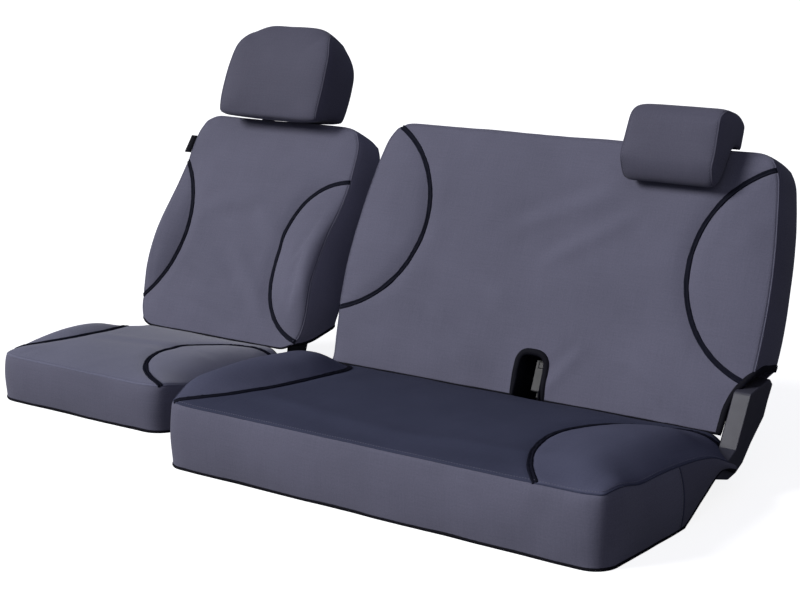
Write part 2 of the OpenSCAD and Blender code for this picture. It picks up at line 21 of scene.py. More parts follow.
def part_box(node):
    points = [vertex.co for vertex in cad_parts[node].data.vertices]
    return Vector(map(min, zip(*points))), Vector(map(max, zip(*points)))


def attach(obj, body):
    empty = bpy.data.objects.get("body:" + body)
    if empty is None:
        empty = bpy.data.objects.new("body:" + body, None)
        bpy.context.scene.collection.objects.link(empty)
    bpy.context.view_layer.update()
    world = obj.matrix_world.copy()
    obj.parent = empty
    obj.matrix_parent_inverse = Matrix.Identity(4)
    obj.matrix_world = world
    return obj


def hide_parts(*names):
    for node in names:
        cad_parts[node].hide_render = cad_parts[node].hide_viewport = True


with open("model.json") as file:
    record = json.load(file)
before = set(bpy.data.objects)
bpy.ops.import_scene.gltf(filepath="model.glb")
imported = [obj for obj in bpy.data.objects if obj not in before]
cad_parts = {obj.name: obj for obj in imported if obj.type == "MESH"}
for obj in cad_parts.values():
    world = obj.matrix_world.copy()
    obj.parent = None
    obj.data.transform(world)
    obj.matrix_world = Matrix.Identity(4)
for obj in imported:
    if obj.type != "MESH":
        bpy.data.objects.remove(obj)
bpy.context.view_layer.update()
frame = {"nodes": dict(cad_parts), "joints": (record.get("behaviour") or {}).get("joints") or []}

log = logging.getLogger("seat_covers")
# How thick a panel's canvas is, laid inwards.
CANVAS_THICK = 0.0018
# A point this close to a line is moved on to it, or taken as on it.
SEAM_SNAP = 0.0013
TRIM_SNAP = 0.0006
# How deep a piped seam pulls the cover in, and how far from the line that is felt.
SEAM_DEPTH = 0.0022
SEAM_REACH = 0.005
# Unevenness of a stuffed cover: how many waves to a metre, and their height.
WAVES = ((9.0, 0.0016), (26.0, 0.0005))
PUFF_PRESSURE = 4.0
PUFF_FRAMES = 20
Level = Callable[[np.ndarray], np.ndarray]


# ---------------------------------------------------------------- shader groups and finishes


def srgb(red: int, green: int, blue: int) -> tuple[float, float, float, float]:
    """Turns a colour in 0 to 255 into the linear colour that shaders take.

    Args:
        red, green, blue: The colour as a screen shows it.

    Returns:
        The linear colour with an alpha of 1.
    """
    shares = (c / 255 for c in (red, green, blue))
    linear = [s / 12.92 if s <= 0.04045 else ((s + 0.055) / 1.055) ** 2.4 for s in shares]
    return (*linear, 1.0)


class NodeSheet:
    """A short way to place and join nodes in a material or a group."""

    def __init__(self, tree: bpy.types.NodeTree) -> None:
        """Keeps the tree that the nodes go in."""
        self.tree = tree

    def add(self, kind: str, inputs: dict | None = None, **settings: object) -> bpy.types.Node:
        """Adds one node.

        Args:
            kind: The node's type name.
            inputs: What goes in its sockets: a number, a colour or another node's socket.
            settings: Attributes of the node.

        Returns:
            The new node.
        """
        node = self.tree.nodes.new(kind)
        for name, value in settings.items():
            setattr(node, name, value)
        for name, value in (inputs or {}).items():
            socket = node.inputs[name]
            if isinstance(value, bpy.types.NodeSocket):
                self.tree.links.new(value, socket)
            else:
                socket.default_value = value
        return node

    def math(self, operation: str, a: object, b: object = 0.0) -> bpy.types.NodeSocket:
        """Adds a Math node and returns its output."""
        return self.add("ShaderNodeMath", {0: a, 1: b}, operation=operation).outputs[0]

    def mix(self, share: object, a: object, b: object) -> bpy.types.NodeSocket:
        """Adds a colour mix.

        Args:
            share: How much of the second colour there is.
            a, b: The two colours, or sockets that give them.

        Returns:
            The mixed colour's socket.
        """
        node = self.add("ShaderNodeMix", data_type="RGBA")
        for slot, value in ((0, share), (6, a), (7, b)):
            if isinstance(value, bpy.types.NodeSocket):
                self.tree.links.new(value, node.inputs[slot])
            else:
                node.inputs[slot].default_value = value
        return node.outputs[2]


def new_group(name: str, inputs: dict[str, float], outputs: Sequence[str]) -> NodeSheet:
    """Starts a shader node group with named sockets.

    Args:
        name: The group's name.
        inputs: Each input's name and its usual value.
        outputs: Each output's name.

    Returns:
        A sheet on the group's tree, which holds its Group Input and Group Output nodes.
    """
    tree = bpy.data.node_groups.new(name, "ShaderNodeTree")
    for title, value in inputs.items():
        socket = tree.interface.new_socket(title, in_out="INPUT", socket_type="NodeSocketFloat")
        socket.default_value = value
    for title in outputs:
        tree.interface.new_socket(title, in_out="OUTPUT", socket_type="NodeSocketFloat")
    tree.nodes.new("NodeGroupInput")
    tree.nodes.new("NodeGroupOutput")
    return NodeSheet(tree)


def close_group(sheet: NodeSheet, values: dict[str, bpy.types.NodeSocket]) -> bpy.types.NodeTree:
    """Joins a group's results to its outputs.

    Args:
        sheet: The sheet on the group's tree.
        values: What each named output gives.

    Returns:
        The finished group.
    """
    out = sheet.tree.nodes["Group Output"]
    for title, value in values.items():
        sheet.tree.links.new(value, out.inputs[title])
    return sheet.tree


def weave_group() -> bpy.types.NodeTree:
    """Plain weave of even yarns, from the cloth's own flat measure in metres.

    Returns:
        A group with the yarns' height, a tone that varies between yarns, and fine fluff.
    """
    sheet = new_group("weave", {"Yarns": 900.0, "Slub": 0.4}, ("Height", "Tone", "Fluff"))
    given = sheet.tree.nodes["Group Input"].outputs
    flat = sheet.add("ShaderNodeUVMap", uv_map="cloth").outputs[0]
    parts = sheet.add("ShaderNodeSeparateXYZ", {0: flat})
    turn = sheet.math("MULTIPLY", given["Yarns"], math.pi)
    warp = sheet.math("ABSOLUTE", sheet.math("SINE", sheet.math("MULTIPLY", parts.outputs[0], turn)))
    weft = sheet.math("ABSOLUTE", sheet.math("SINE", sheet.math("MULTIPLY", parts.outputs[1], turn)))
    over = sheet.add("ShaderNodeTexChecker", {"Vector": flat, "Scale": given["Yarns"]}).outputs["Fac"]
    under = sheet.math("SUBTRACT", 1.0, over)
    height = sheet.math("ADD", sheet.math("MULTIPLY", warp, over), sheet.math("MULTIPLY", weft, under))
    along = sheet.add("ShaderNodeMapping", {"Vector": flat, "Scale": (12.0, 700.0, 1.0)}).outputs[0]
    round_ = sheet.add("ShaderNodeMapping", {"Vector": flat, "Scale": (700.0, 12.0, 1.0)}).outputs[0]
    slubs = [sheet.add("ShaderNodeTexNoise", {"Vector": v, "Scale": 1.0, "Detail": 2.0}).outputs["Fac"]
             for v in (along, round_)]
    tone = sheet.math("MULTIPLY", sheet.math("ADD", *slubs), given["Slub"])
    fluff = sheet.add("ShaderNodeTexNoise", {"Vector": flat, "Scale": 330.0, "Detail": 5.0})
    return close_group(sheet, {"Height": height, "Tone": tone, "Fluff": fluff.outputs["Fac"]})


def handling_group() -> bpy.types.NodeTree:
    """Broad unevenness from dye and handling, the same on every finish.

    Returns:
        A group with a soft patchy mask and a finer dusty one.
    """
    sheet = new_group("handling", {"Patch": 7.0, "Dust": 60.0}, ("Patches", "Dusting"))
    given = sheet.tree.nodes["Group Input"].outputs
    place = sheet.add("ShaderNodeTexCoord").outputs["Object"]
    patches = sheet.add("ShaderNodeTexNoise", {"Vector": place, "Scale": given["Patch"], "Detail": 3.0})
    dust = sheet.add("ShaderNodeTexNoise", {"Vector": place, "Scale": given["Dust"], "Detail": 6.0})
    return close_group(sheet, {"Patches": patches.outputs["Fac"], "Dusting": dust.outputs["Fac"]})


def grain_group() -> bpy.types.NodeTree:
    """Fine leather-like grain of moulded plastic, and the cells of cut foam at a coarser size.

    Returns:
        A group with the grain's height.
    """
    sheet = new_group("grain", {"Size": 900.0}, ("Height",))
    given = sheet.tree.nodes["Group Input"].outputs
    place = sheet.add("ShaderNodeTexCoord").outputs["Object"]
    cells = sheet.add("ShaderNodeTexVoronoi", {"Vector": place, "Scale": given["Size"]})
    return close_group(sheet, {"Height": cells.outputs["Distance"]})


@dataclass(frozen=True)
class Finish:
    """What every finish has: a name, two colours that it varies between, and its gloss."""

    name: str
    slot: str
    dark: tuple[float, float, float, float]
    light: tuple[float, float, float, float]
    rough: float = 0.8
    metallic: float = 0.0
    sheen: float = 0.0
    specular: float = 0.4
    bump: float = 0.3
    size: float = 900.0

    def group(self, sheet: NodeSheet, make: Callable[[], bpy.types.NodeTree],
              **values: float) -> bpy.types.bpy_prop_collection:
        """Places a shared group in a material.

        Args:
            sheet: The material's sheet.
            make: The function that builds the group the first time.
            values: The group's inputs.

        Returns:
            The group node's outputs.
        """
        name = make.__name__.removesuffix("_group")
        tree = bpy.data.node_groups.get(name) or make()
        node = sheet.add("ShaderNodeGroup", node_tree=tree)
        for title, value in values.items():
            node.inputs[title].default_value = value
        return node.outputs

    def surface(self, sheet: NodeSheet) -> tuple[bpy.types.NodeSocket, bpy.types.NodeSocket]:
        """Lays out the surface's pattern. Each kind of finish has its own.

        Args:
            sheet: The material's sheet.

        Returns:
            The tone, 0 to 1, and the height of the surface.
        """
        handling = self.group(sheet, handling_group, Patch=7.0, Dust=60.0)
        grain = self.group(sheet, grain_group, Size=self.size)
        tone = sheet.math("ADD", sheet.math("MULTIPLY", handling["Patches"], 0.6),
                          sheet.math("MULTIPLY", handling["Dusting"], 0.4))
        return tone, grain["Height"]

    def depth(self) -> float:
        """How deep the surface's relief is, in metres."""
        return 0.0004

    def material(self) -> bpy.types.Material:
        """Builds the material the first time that it is asked for.

        Returns:
            The material, the same one each time.
        """
        known = bpy.data.materials.get(self.name)
        if known:
            return known
        made = bpy.data.materials.new(self.name)
        made.use_nodes = True
        sheet = NodeSheet(made.node_tree)
        shader = made.node_tree.nodes["Principled BSDF"]
        tone, height = self.surface(sheet)
        spread = sheet.add("ShaderNodeMapRange", {0: tone, 1: 0.25, 2: 0.75})
        colour = sheet.mix(spread.outputs[0], self.dark, self.light)
        gloss = sheet.add("ShaderNodeMapRange", {0: tone, 3: self.rough + 0.06, 4: self.rough - 0.06})
        bump = sheet.add("ShaderNodeBump", {"Strength": self.bump, "Distance": self.depth(),
                                            "Height": height})
        links = made.node_tree.links
        links.new(colour, shader.inputs["Base Color"])
        links.new(gloss.outputs[0], shader.inputs["Roughness"])
        links.new(bump.outputs[0], shader.inputs["Normal"])
        for title, value in (("Metallic", self.metallic), ("Sheen Weight", self.sheen),
                             ("Sheen Roughness", 0.5), ("Specular IOR Level", self.specular)):
            shader.inputs[title].default_value = value
        return made

    def put_on(self, piece: bpy.types.Object) -> None:
        """Gives a piece this finish."""
        piece.data.materials.clear()
        piece.data.materials.append(self.material())


@dataclass(frozen=True)
class Woven(Finish):
    """Cloth: canvas, webbing or binding tape, with its yarns in relief."""

    def surface(self, sheet: NodeSheet) -> tuple[bpy.types.NodeSocket, bpy.types.NodeSocket]:
        """Lays out the yarns.

        Args:
            sheet: The material's sheet.

        Returns:
            The cloth's tone from its yarns, and the yarns' height.
        """
        weave = self.group(sheet, weave_group, Yarns=self.size, Slub=0.5)
        handling = self.group(sheet, handling_group, Patch=6.0, Dust=90.0)
        yarns = sheet.math("MULTIPLY", weave["Tone"], 0.35)
        patches = sheet.math("MULTIPLY", handling["Patches"], 0.3)
        fluff = sheet.math("MULTIPLY", weave["Fluff"], 0.35)
        tone = sheet.math("ADD", sheet.math("ADD", yarns, patches), fluff)
        return tone, sheet.math("ADD", weave["Height"], sheet.math("MULTIPLY", weave["Fluff"], 0.5))

    def depth(self) -> float:
        """The height of the yarns, in metres."""
        return 0.3 / self.size


CANVAS = Woven("slate_canvas", "canvas", srgb(79, 79, 96), srgb(107, 106, 127), 0.82, sheen=0.15)
CANVAS_SEAT = Woven("bucket_seat_canvas", "canvas", srgb(90, 91, 112), srgb(118, 119, 143), 0.8,
                    sheen=0.25)
CANVAS_HEAD = Woven("headrest_canvas", "canvas", srgb(66, 65, 81), srgb(92, 91, 110), 0.8, sheen=0.1)
# Navy cloth of the bench seat's centre panel, darker than the corner panels' navy: painted shade over the
# middle and rear of the seat.
NAVY_CANVAS_PAINTED_SHADE = Woven("bench_seat_canvas_painted_shade", "canvas", srgb(52, 55, 74), srgb(70, 73, 95), 0.85,
                    specular=0.15)
CANVAS_CORNER = Woven("bench_corner_canvas", "canvas", srgb(70, 72, 92), srgb(92, 94, 117), 0.85,
                      specular=0.2)
# A darker copy of the slate canvas for seat sides, back rear panels and headrest ends: painted shade on
# faces turned from the key light.
SIDE_CANVAS_PAINTED_SHADE = Woven("side_canvas_painted_shade", "canvas_side", srgb(70, 69, 86), srgb(94, 93, 113), 0.85, sheen=0.1)
# A lighter copy of the side canvas for the bucket back's gusset band: painted light on its right side,
# where the key light does not reach; from the left it reads too light.
BAND_CANVAS_PAINTED_LIGHT = Woven("bucket_band_canvas_painted_light", "canvas_side", srgb(104, 103, 123), srgb(132, 131, 153),
                    0.85)
PIPING = Woven("piping_tape", "piping", srgb(8, 9, 22), srgb(16, 18, 36), 0.8, specular=0.15,
               size=1400.0)
BINDING = Woven("hem_binding", "binding", srgb(8, 8, 16), srgb(16, 16, 27), 0.8, specular=0.15,
                size=1400.0)
WEBBING = Woven("strap_webbing", "webbing", srgb(24, 24, 27), srgb(40, 40, 44), 0.6, size=600.0)
THREAD = Woven("topstitch_thread", "canvas", srgb(84, 84, 100), srgb(112, 112, 130), 0.6, size=3000.0)
FOAM = Finish("cut_foam_block", "foam", srgb(196, 184, 140), srgb(224, 214, 176), 0.95, size=450.0,
              bump=0.8)
STEEL = Finish("painted_steel", "frame_steel", srgb(30, 30, 33), srgb(52, 52, 56), 0.45, size=300.0)
BRIGHT = Finish("bright_steel", "bolt_steel", srgb(178, 180, 184), srgb(206, 208, 212), 0.25, 1.0,
                size=400.0, bump=0.1)
SHIELD = Finish("moulded_grey", "shield_plastic", srgb(48, 48, 58), srgb(62, 62, 74), 0.5)
PLASTIC = Finish("moulded_black", "black_plastic", srgb(18, 18, 21), srgb(34, 34, 38), 0.5)


# ---------------------------------------------------------------- nets, pads and seams


class Face(IntEnum):
    """What a part of a pad's net is. A cushion's LOW face is its front, and FRONT is its top."""

    LEFT = 0
    RIGHT = 1
    LOW = 2
    HIGH = 3
    BACK = 4
    FRONT = 5
    CORNER = 6
    GONE = 7


@dataclass(frozen=True)
class Place:
    """A frame of work, by its origin and its three square directions."""

    origin: Vector
    out: Vector
    up: Vector

    def matrix(self) -> Matrix:
        """The matrix from this frame to the row frame, with x across."""
        across = self.up.cross(self.out)
        rows = Matrix((across, self.up, self.out)).transposed().to_4x4()
        return Matrix.Translation(self.origin) @ rows

    def object(self, name: str, mesh: bpy.types.Mesh) -> bpy.types.Object:
        """Makes an object of a mesh drawn in this frame.

        Args:
            name: The object's name.
            mesh: The mesh, which takes the place in its vertices.

        Returns:
            The new object, in the scene.
        """
        mesh.transform(self.matrix())
        made = bpy.data.objects.new(name, mesh)
        bpy.context.scene.collection.objects.link(made)
        return made


def box_net(counts: tuple[int, int, int]) -> tuple[np.ndarray, list[tuple[int, ...]], list[int]]:
    """Nets the surface of a box with quads.

    Args:
        counts: How many quads each side is divided into.

    Returns:
        Each point's three shares of the box, the quads, and the face that each quad is on.
    """
    index: dict[tuple[int, ...], int] = {}
    quads, tags = [], []
    for axis in range(3):
        b, c = (axis + 1) % 3, (axis + 2) % 3
        for side in (0, 1):
            for i in range(counts[b]):
                for j in range(counts[c]):
                    ring = [(i, j), (i + 1, j), (i + 1, j + 1), (i, j + 1)]
                    keys = []
                    for p, q in ring if side else ring[::-1]:
                        key = [0, 0, 0]
                        key[axis], key[b], key[c] = side * counts[axis], p, q
                        keys.append(index.setdefault(tuple(key), len(index)))
                    quads.append(tuple(keys))
                    tags.append(2 * axis + side)
    shares = np.array(list(index), float) / np.array(counts, float)
    return shares, quads, tags


def ease(share: np.ndarray | float) -> np.ndarray:
    """A smooth step from 0 to 1."""
    t = np.clip(share, 0, 1)
    return t * t * (3 - 2 * t)


def round_corners(points: np.ndarray, half: float, low: float, high: float,
                  radii: tuple[float, float]) -> np.ndarray:
    """Rounds the corners of a rectangle in the first two coordinates.

    Args:
        points: The points, in a rectangle from -half to half and from low to high.
        half, low, high: The rectangle.
        radii: The corner radius at low and at high.

    Returns:
        The moved points.
    """
    made = points.copy()
    for radius, edge, way in ((radii[0], low, -1), (radii[1], high, 1)):
        if radius <= 0:
            continue
        level = np.full(len(made), edge - way * radius)
        inner = np.stack([np.sign(made[:, 0]) * (half - radius), level], 1)
        d = made[:, :2] - inner
        at = (d[:, 0] * np.sign(made[:, 0]) > 0) & (d[:, 1] * way > 0)
        reach = np.abs(d[at]).max(1)
        length = np.maximum(np.linalg.norm(d[at], axis=1), 1e-9)
        made[at, :2] = inner[at] + d[at] * (reach / length)[:, None]
    return made


@dataclass(frozen=True)
class Fold:
    """A soft crease in the cover, between two points of the face that it is seen on."""

    start: tuple[float, float]
    end: tuple[float, float]
    rise: float
    width: float

    def height(self, spot: Vector) -> float:
        """How much the crease lifts the cover.

        Args:
            spot: The point of the cover.

        Returns:
            The lift there, in metres: a ridge with a hollow beside it.
        """
        start, line = Vector(self.start), Vector(self.end) - Vector(self.start)
        off = spot.xy - start
        along = off.dot(line) / line.length_squared
        across = (off.x * line.y - off.y * line.x) / line.length
        if not -0.3 < along < 1.3:
            return 0.0
        fade = float(ease((along + 0.3) / 0.5) * ease((1.3 - along) / 0.5))
        ridge = math.exp(-((across / self.width) ** 2))
        hollow = math.exp(-(((across - 1.6 * self.width) / self.width) ** 2))
        return self.rise * fade * (ridge - 0.6 * hollow)


@dataclass
class Seam:
    """A line along which two panels are sewn, or a panel ends."""

    points: np.ndarray
    normals: np.ndarray
    inward: np.ndarray

    def spaced(self, step: float) -> "Seam":
        """Spaces the line's points evenly and smooths it a little.

        Args:
            step: The distance between points.

        Returns:
            The new line, with its directions square to each other.
        """
        lengths = np.linalg.norm(np.diff(self.points, axis=0), axis=1)
        along = np.concatenate([[0], np.cumsum(lengths)])
        at = np.linspace(0, along[-1], max(4, int(along[-1] / step)))
        rows = [np.stack([np.interp(at, along, v[:, k]) for k in range(3)], 1)
                for v in (self.points, self.normals, self.inward)]
        for _ in range(3):
            for v in rows:
                v[1:-1] = (v[:-2] + 2 * v[1:-1] + v[2:]) / 4
        normals = rows[1] / np.linalg.norm(rows[1], axis=1)[:, None]
        tangents = np.gradient(rows[0], axis=0)
        side = np.cross(normals, tangents)
        side /= np.maximum(np.linalg.norm(side, axis=1), 1e-9)[:, None]
        side *= np.sign((side * rows[2]).sum(1))[:, None]
        return Seam(rows[0], normals, side)


@dataclass
class Pad:
    """A stuffed body, from its plain net to the shape that its cover is sewn to."""

    name: str
    place: Place
    counts: tuple[int, int, int]
    shape: Callable[[np.ndarray], np.ndarray]
    crisp: Level
    smoothing: int = 3
    cap: float = 0.008
    level: Level | None = None
    folds: Sequence[Fold] = ()
    mesh: bmesh.types.BMesh = field(init=False)
    plain: bpy.types.Mesh = field(init=False)

    def build(self) -> None:
        """Nets, smooths, puffs up and refines the pad, then cuts it along its piped seams."""
        shares, quads, tags = box_net(self.counts)
        points = self._smoothed(self.shape(shares), quads, shares)
        mesh = bpy.data.meshes.new(self.name + "_net")
        mesh.from_pydata(points.tolist(), [], quads)
        mesh.polygons.foreach_set("material_index", tags)
        self.plain = mesh.copy()
        self._puff(mesh, shares)
        self._refine(mesh, self.crisp(shares))
        if self.level:
            self._cut()

    def _smoothed(self, points: np.ndarray, quads: Sequence, shares: np.ndarray) -> np.ndarray:
        """Rounds the net's edges over.

        Args:
            points: The net's points.
            quads: The net's quads.
            shares: Each point's shares of the box.

        Returns:
            The moved points. The crisp ones keep their line.
        """
        q = np.array(quads)
        pairs = np.concatenate([q[:, [i, (i + 1) % 4]] for i in range(4)])
        held = self.crisp(shares)
        for _ in range(self.smoothing):
            total, count = np.zeros_like(points), np.zeros(len(points))
            np.add.at(total, pairs[:, 0], points[pairs[:, 1]])
            np.add.at(count, pairs[:, 0], 1)
            moved = (points + total / count[:, None]) / 2
            points = np.where(held[:, None], points, moved)
        return points

    def _puff(self, mesh: bpy.types.Mesh, shares: np.ndarray) -> None:
        """Blows the net up as cloth held at its seams, as far as the cap allows.

        Args:
            mesh: The net, which is moved.
            shares: Each point's shares of the box.
        """
        rest = np.array([v.co for v in mesh.vertices])
        piece = bpy.data.objects.new(self.name + "_cloth", mesh)
        bpy.context.scene.collection.objects.link(piece)
        at_edge = ((shares < 1e-6) | (shares > 1 - 1e-6)).sum(1) > 1
        held = at_edge | self.crisp(shares)
        pins = piece.vertex_groups.new(name="pins")
        pins.add(np.flatnonzero(held).tolist(), 1.0, "REPLACE")
        cloth = piece.modifiers.new("puff", "CLOTH")
        settings = cloth.settings
        settings.vertex_group_mass = "pins"
        settings.use_pressure = True
        settings.uniform_pressure_force = PUFF_PRESSURE
        settings.effector_weights.gravity = 0.0
        settings.quality = 4
        cloth.point_cache.frame_start, cloth.point_cache.frame_end = 1, PUFF_FRAMES
        for number in range(1, PUFF_FRAMES + 1):
            bpy.context.scene.frame_set(number)
        seen = piece.evaluated_get(bpy.context.evaluated_depsgraph_get())
        moved = np.array([v.co for v in seen.data.vertices]) - rest
        bpy.data.objects.remove(piece)
        bpy.context.scene.frame_set(1)
        length = np.maximum(np.linalg.norm(moved, axis=1), 1e-9)
        window = self._window(rest)
        moved *= (window * self.cap * np.tanh(length / self.cap) / length)[:, None]
        mesh.vertices.foreach_set("co", (rest + moved).ravel())

    def _window(self, points: np.ndarray) -> np.ndarray:
        """How free each point is to swell: not at all on a piped seam."""
        if self.level is None:
            return np.ones(len(points))
        return 1 - np.exp(-((self.level(points) / 0.018) ** 2))

    def _refine(self, mesh: bpy.types.Mesh, held: np.ndarray) -> None:
        """Subdivides the net once, adds folds and slight unevenness and keeps it for cutting.

        Args:
            mesh: The net.
            held: Which of its points are on a crisp edge.
        """
        creases = mesh.attributes.new("crease_edge", "FLOAT", "EDGE")
        creases.data.foreach_set("value", [float(held[list(e.vertices)].all()) for e in mesh.edges])
        piece = bpy.data.objects.new(self.name + "_fine", mesh)
        bpy.context.scene.collection.objects.link(piece)
        finer = piece.modifiers.new("finer", "SUBSURF")
        finer.levels = finer.render_levels = 1
        seen = piece.evaluated_get(bpy.context.evaluated_depsgraph_get())
        self.mesh = bmesh.new()
        self.mesh.from_mesh(seen.to_mesh())
        bpy.data.objects.remove(piece)
        self.mesh.normal_update()
        for v in self.mesh.verts:
            swell = sum(noise.noise(v.co * often) * high for often, high in WAVES)
            if v.normal.z > 0.3:
                swell += sum(fold.height(v.co) for fold in self.folds)
            v.co += v.normal * swell

    def _cut(self) -> None:
        """Splits the front along the line where the level is 0, and tags what is inside it."""
        bm = self.mesh
        level = self.level
        front = (f for f in bm.faces if f.material_index == Face.FRONT)
        verts = list(dict.fromkeys(v for f in front for v in f.verts))
        values = level(np.array([v.co for v in verts]))
        for v, value in zip(verts, values):
            if abs(value) < SEAM_SNAP:
                v.co -= self._slope(v.co) * value
        snapped = np.where(np.abs(values) < SEAM_SNAP, 0.0, values)
        self._split(dict(zip(verts, snapped)), Face.FRONT)
        self._retag(level, Face.FRONT, Face.CORNER)
        levels = level(np.array([v.co for v in verts]))
        depths = SEAM_DEPTH * np.exp(-((levels / SEAM_REACH) ** 2))
        for v, depth in zip(verts, depths):
            v.co -= v.normal * depth
        bm.normal_update()

    def _split(self, at: dict[bmesh.types.BMVert, float], tag: Face) -> None:
        """Splits edges and faces along the line where a level is 0.

        Args:
            at: The level at each point that takes part, 0 if the point is on the line.
            tag: The faces that the line is drawn on.
        """
        on_line = dict.fromkeys(v for v, value in at.items() if value == 0.0)
        for e in list(self.mesh.edges):
            a, b = e.verts
            tags = {f.material_index for f in e.link_faces}
            if a in at and b in at and at[a] * at[b] < 0 and tag in tags:
                made = bmesh.utils.edge_split(e, a, at[a] / (at[a] - at[b]))[1]
                on_line[made] = None
                at[made] = 0.0
        for f in dict.fromkeys(f for v in on_line for f in v.link_faces):
            met = [v for v in f.verts if v in on_line]
            signs = {math.copysign(1, at[v]) for v in f.verts if at.get(v, 0.0) != 0.0}
            if len(met) == 2 and len(signs) == 2 and f.material_index == tag:
                if not any(met[1] in e.verts for e in met[0].link_edges):
                    bmesh.utils.face_split(f, met[0], met[1])

    def _retag(self, level: Level, tag: Face, new: Face) -> None:
        """Gives a new tag to the faces inside a level.

        Args:
            level: The level, which is above 0 inside.
            tag: The faces that are looked at.
            new: Their tag if they are inside.
        """
        faces = [f for f in self.mesh.faces if f.material_index == tag]
        inside = level(np.array([f.calc_center_median() for f in faces])) > 0
        for f, is_in in zip(faces, inside):
            if is_in:
                f.material_index = new
        self.mesh.normal_update()

    def _slope(self, point: Vector) -> Vector:
        """Finds the direction in which the level rises.

        Args:
            point: A point on the pad's front.

        Returns:
            The direction, in the first two coordinates.
        """
        step = 1e-4
        spots = np.array([[point.x + step, point.y, point.z], [point.x - step, point.y, point.z],
                          [point.x, point.y + step, point.z], [point.x, point.y - step, point.z]])
        v = self.level(spots)
        slope = Vector(((v[0] - v[1]) / (2 * step), (v[2] - v[3]) / (2 * step), 0))
        return slope.normalized()

    def trim(self, inside: Level, tag: Face) -> None:
        """Cuts away what the level calls inside.

        Args:
            inside: A level that is above 0 where the cover is cut away.
            tag: The face that the cut is limited to.
        """
        verts = list(self.mesh.verts)
        values = inside(np.array([v.co for v in verts]))
        snapped = np.where(np.abs(values) > TRIM_SNAP, values, 0.0)
        self._split(dict(zip(verts, snapped)), tag)
        self._retag(inside, tag, Face.GONE)

    def seams(self, a: Iterable[int], b: Iterable[int]) -> list[Seam]:
        """Finds the lines between two sets of faces.

        Args:
            a: Tags of the panel that the seam's inward direction points to.
            b: Tags on the other side. GONE is what was cut away.

        Returns:
            One seam for each unbroken line.
        """
        first, second = set(a), set(b)
        joined: dict[bmesh.types.BMVert, list[bmesh.types.BMVert]] = {}
        inward: dict[bmesh.types.BMVert, Vector] = {}
        for e in self.mesh.edges:
            tags = [f.material_index for f in e.link_faces]
            if len(tags) != 2 or not ((tags[0] in first and tags[1] in second)
                                      or (tags[1] in first and tags[0] in second)):
                continue
            own = e.link_faces[0 if tags[0] in first else 1]
            middle = (e.verts[0].co + e.verts[1].co) / 2
            for v, other in (e.verts, tuple(e.verts)[::-1]):
                joined.setdefault(v, []).append(other)
                inward[v] = inward.get(v, Vector()) + (own.calc_center_median() - middle).normalized()
        chains, used = [], set()
        for start in sorted(joined, key=lambda v: (len(joined[v]) != 1, v.index)):
            if start in used:
                continue
            chain, here = [start], start
            used.add(start)
            while (step := next((n for n in joined[here] if n not in used), None)) is not None:
                chain.append(step)
                used.add(step)
                here = step
            if len(chain) > 5:
                chains.append(Seam(*(np.array([get(v) for v in chain]) for get in (
                    lambda v: v.co, lambda v: v.normal, lambda v: inward[v]))))
        return chains

    def panel(self, name: str, tags: Iterable[int], thickness: float = CANVAS_THICK) -> bpy.types.Object:
        """Makes the piece of cover that lies on some faces.

        Args:
            name: The piece's name.
            tags: The faces that it covers.
            thickness: How thick the canvas is, inwards.

        Returns:
            The new piece, in place.
        """
        wanted = set(tags)
        faces = [f for f in self.mesh.faces if f.material_index in wanted]
        index = {v: i for i, v in enumerate(dict.fromkeys(v for f in faces for v in f.verts))}
        mesh = bpy.data.meshes.new(name)
        mesh.from_pydata([v.co[:] for v in index], [], [[index[v] for v in f.verts] for f in faces])
        lay_flat(mesh)
        mesh.shade_smooth()
        piece = self.place.object(name, mesh)
        shell = piece.modifiers.new("canvas", "SOLIDIFY")
        shell.thickness, shell.offset = thickness, -1
        return piece

    def filling(self, name: str, inset: float = 0.005) -> bpy.types.Object:
        """Makes the foam block: the plain net, drawn in under the cover.

        Args:
            name: The piece's name.
            inset: How far under the net it lies.

        Returns:
            The new piece, in place.
        """
        bm = bmesh.new()
        bm.from_mesh(self.plain)
        bm.normal_update()
        for v, normal in [(v, v.normal.copy()) for v in bm.verts]:
            v.co -= normal * inset
        mesh = bpy.data.meshes.new(name)
        bm.to_mesh(mesh)
        bm.free()
        mesh.polygons.foreach_set("material_index", [0] * len(mesh.polygons))
        mesh.shade_smooth()
        return self.place.object(name, mesh)


def lay_flat(mesh: bpy.types.Mesh) -> None:
    """Gives a mesh the cloth's flat measure, in metres, by the way each face looks.

    Args:
        mesh: The mesh, which takes a UV layer.
    """
    layer = mesh.uv_layers.new(name="cloth")
    for face in mesh.polygons:
        axis = max(range(3), key=lambda k: abs(face.normal[k]))
        u, v = [k for k in range(3) if k != axis]
        for loop in face.loop_indices:
            spot = mesh.vertices[mesh.loops[loop].vertex_index].co
            layer.data[loop].uv = (spot[u], spot[v])


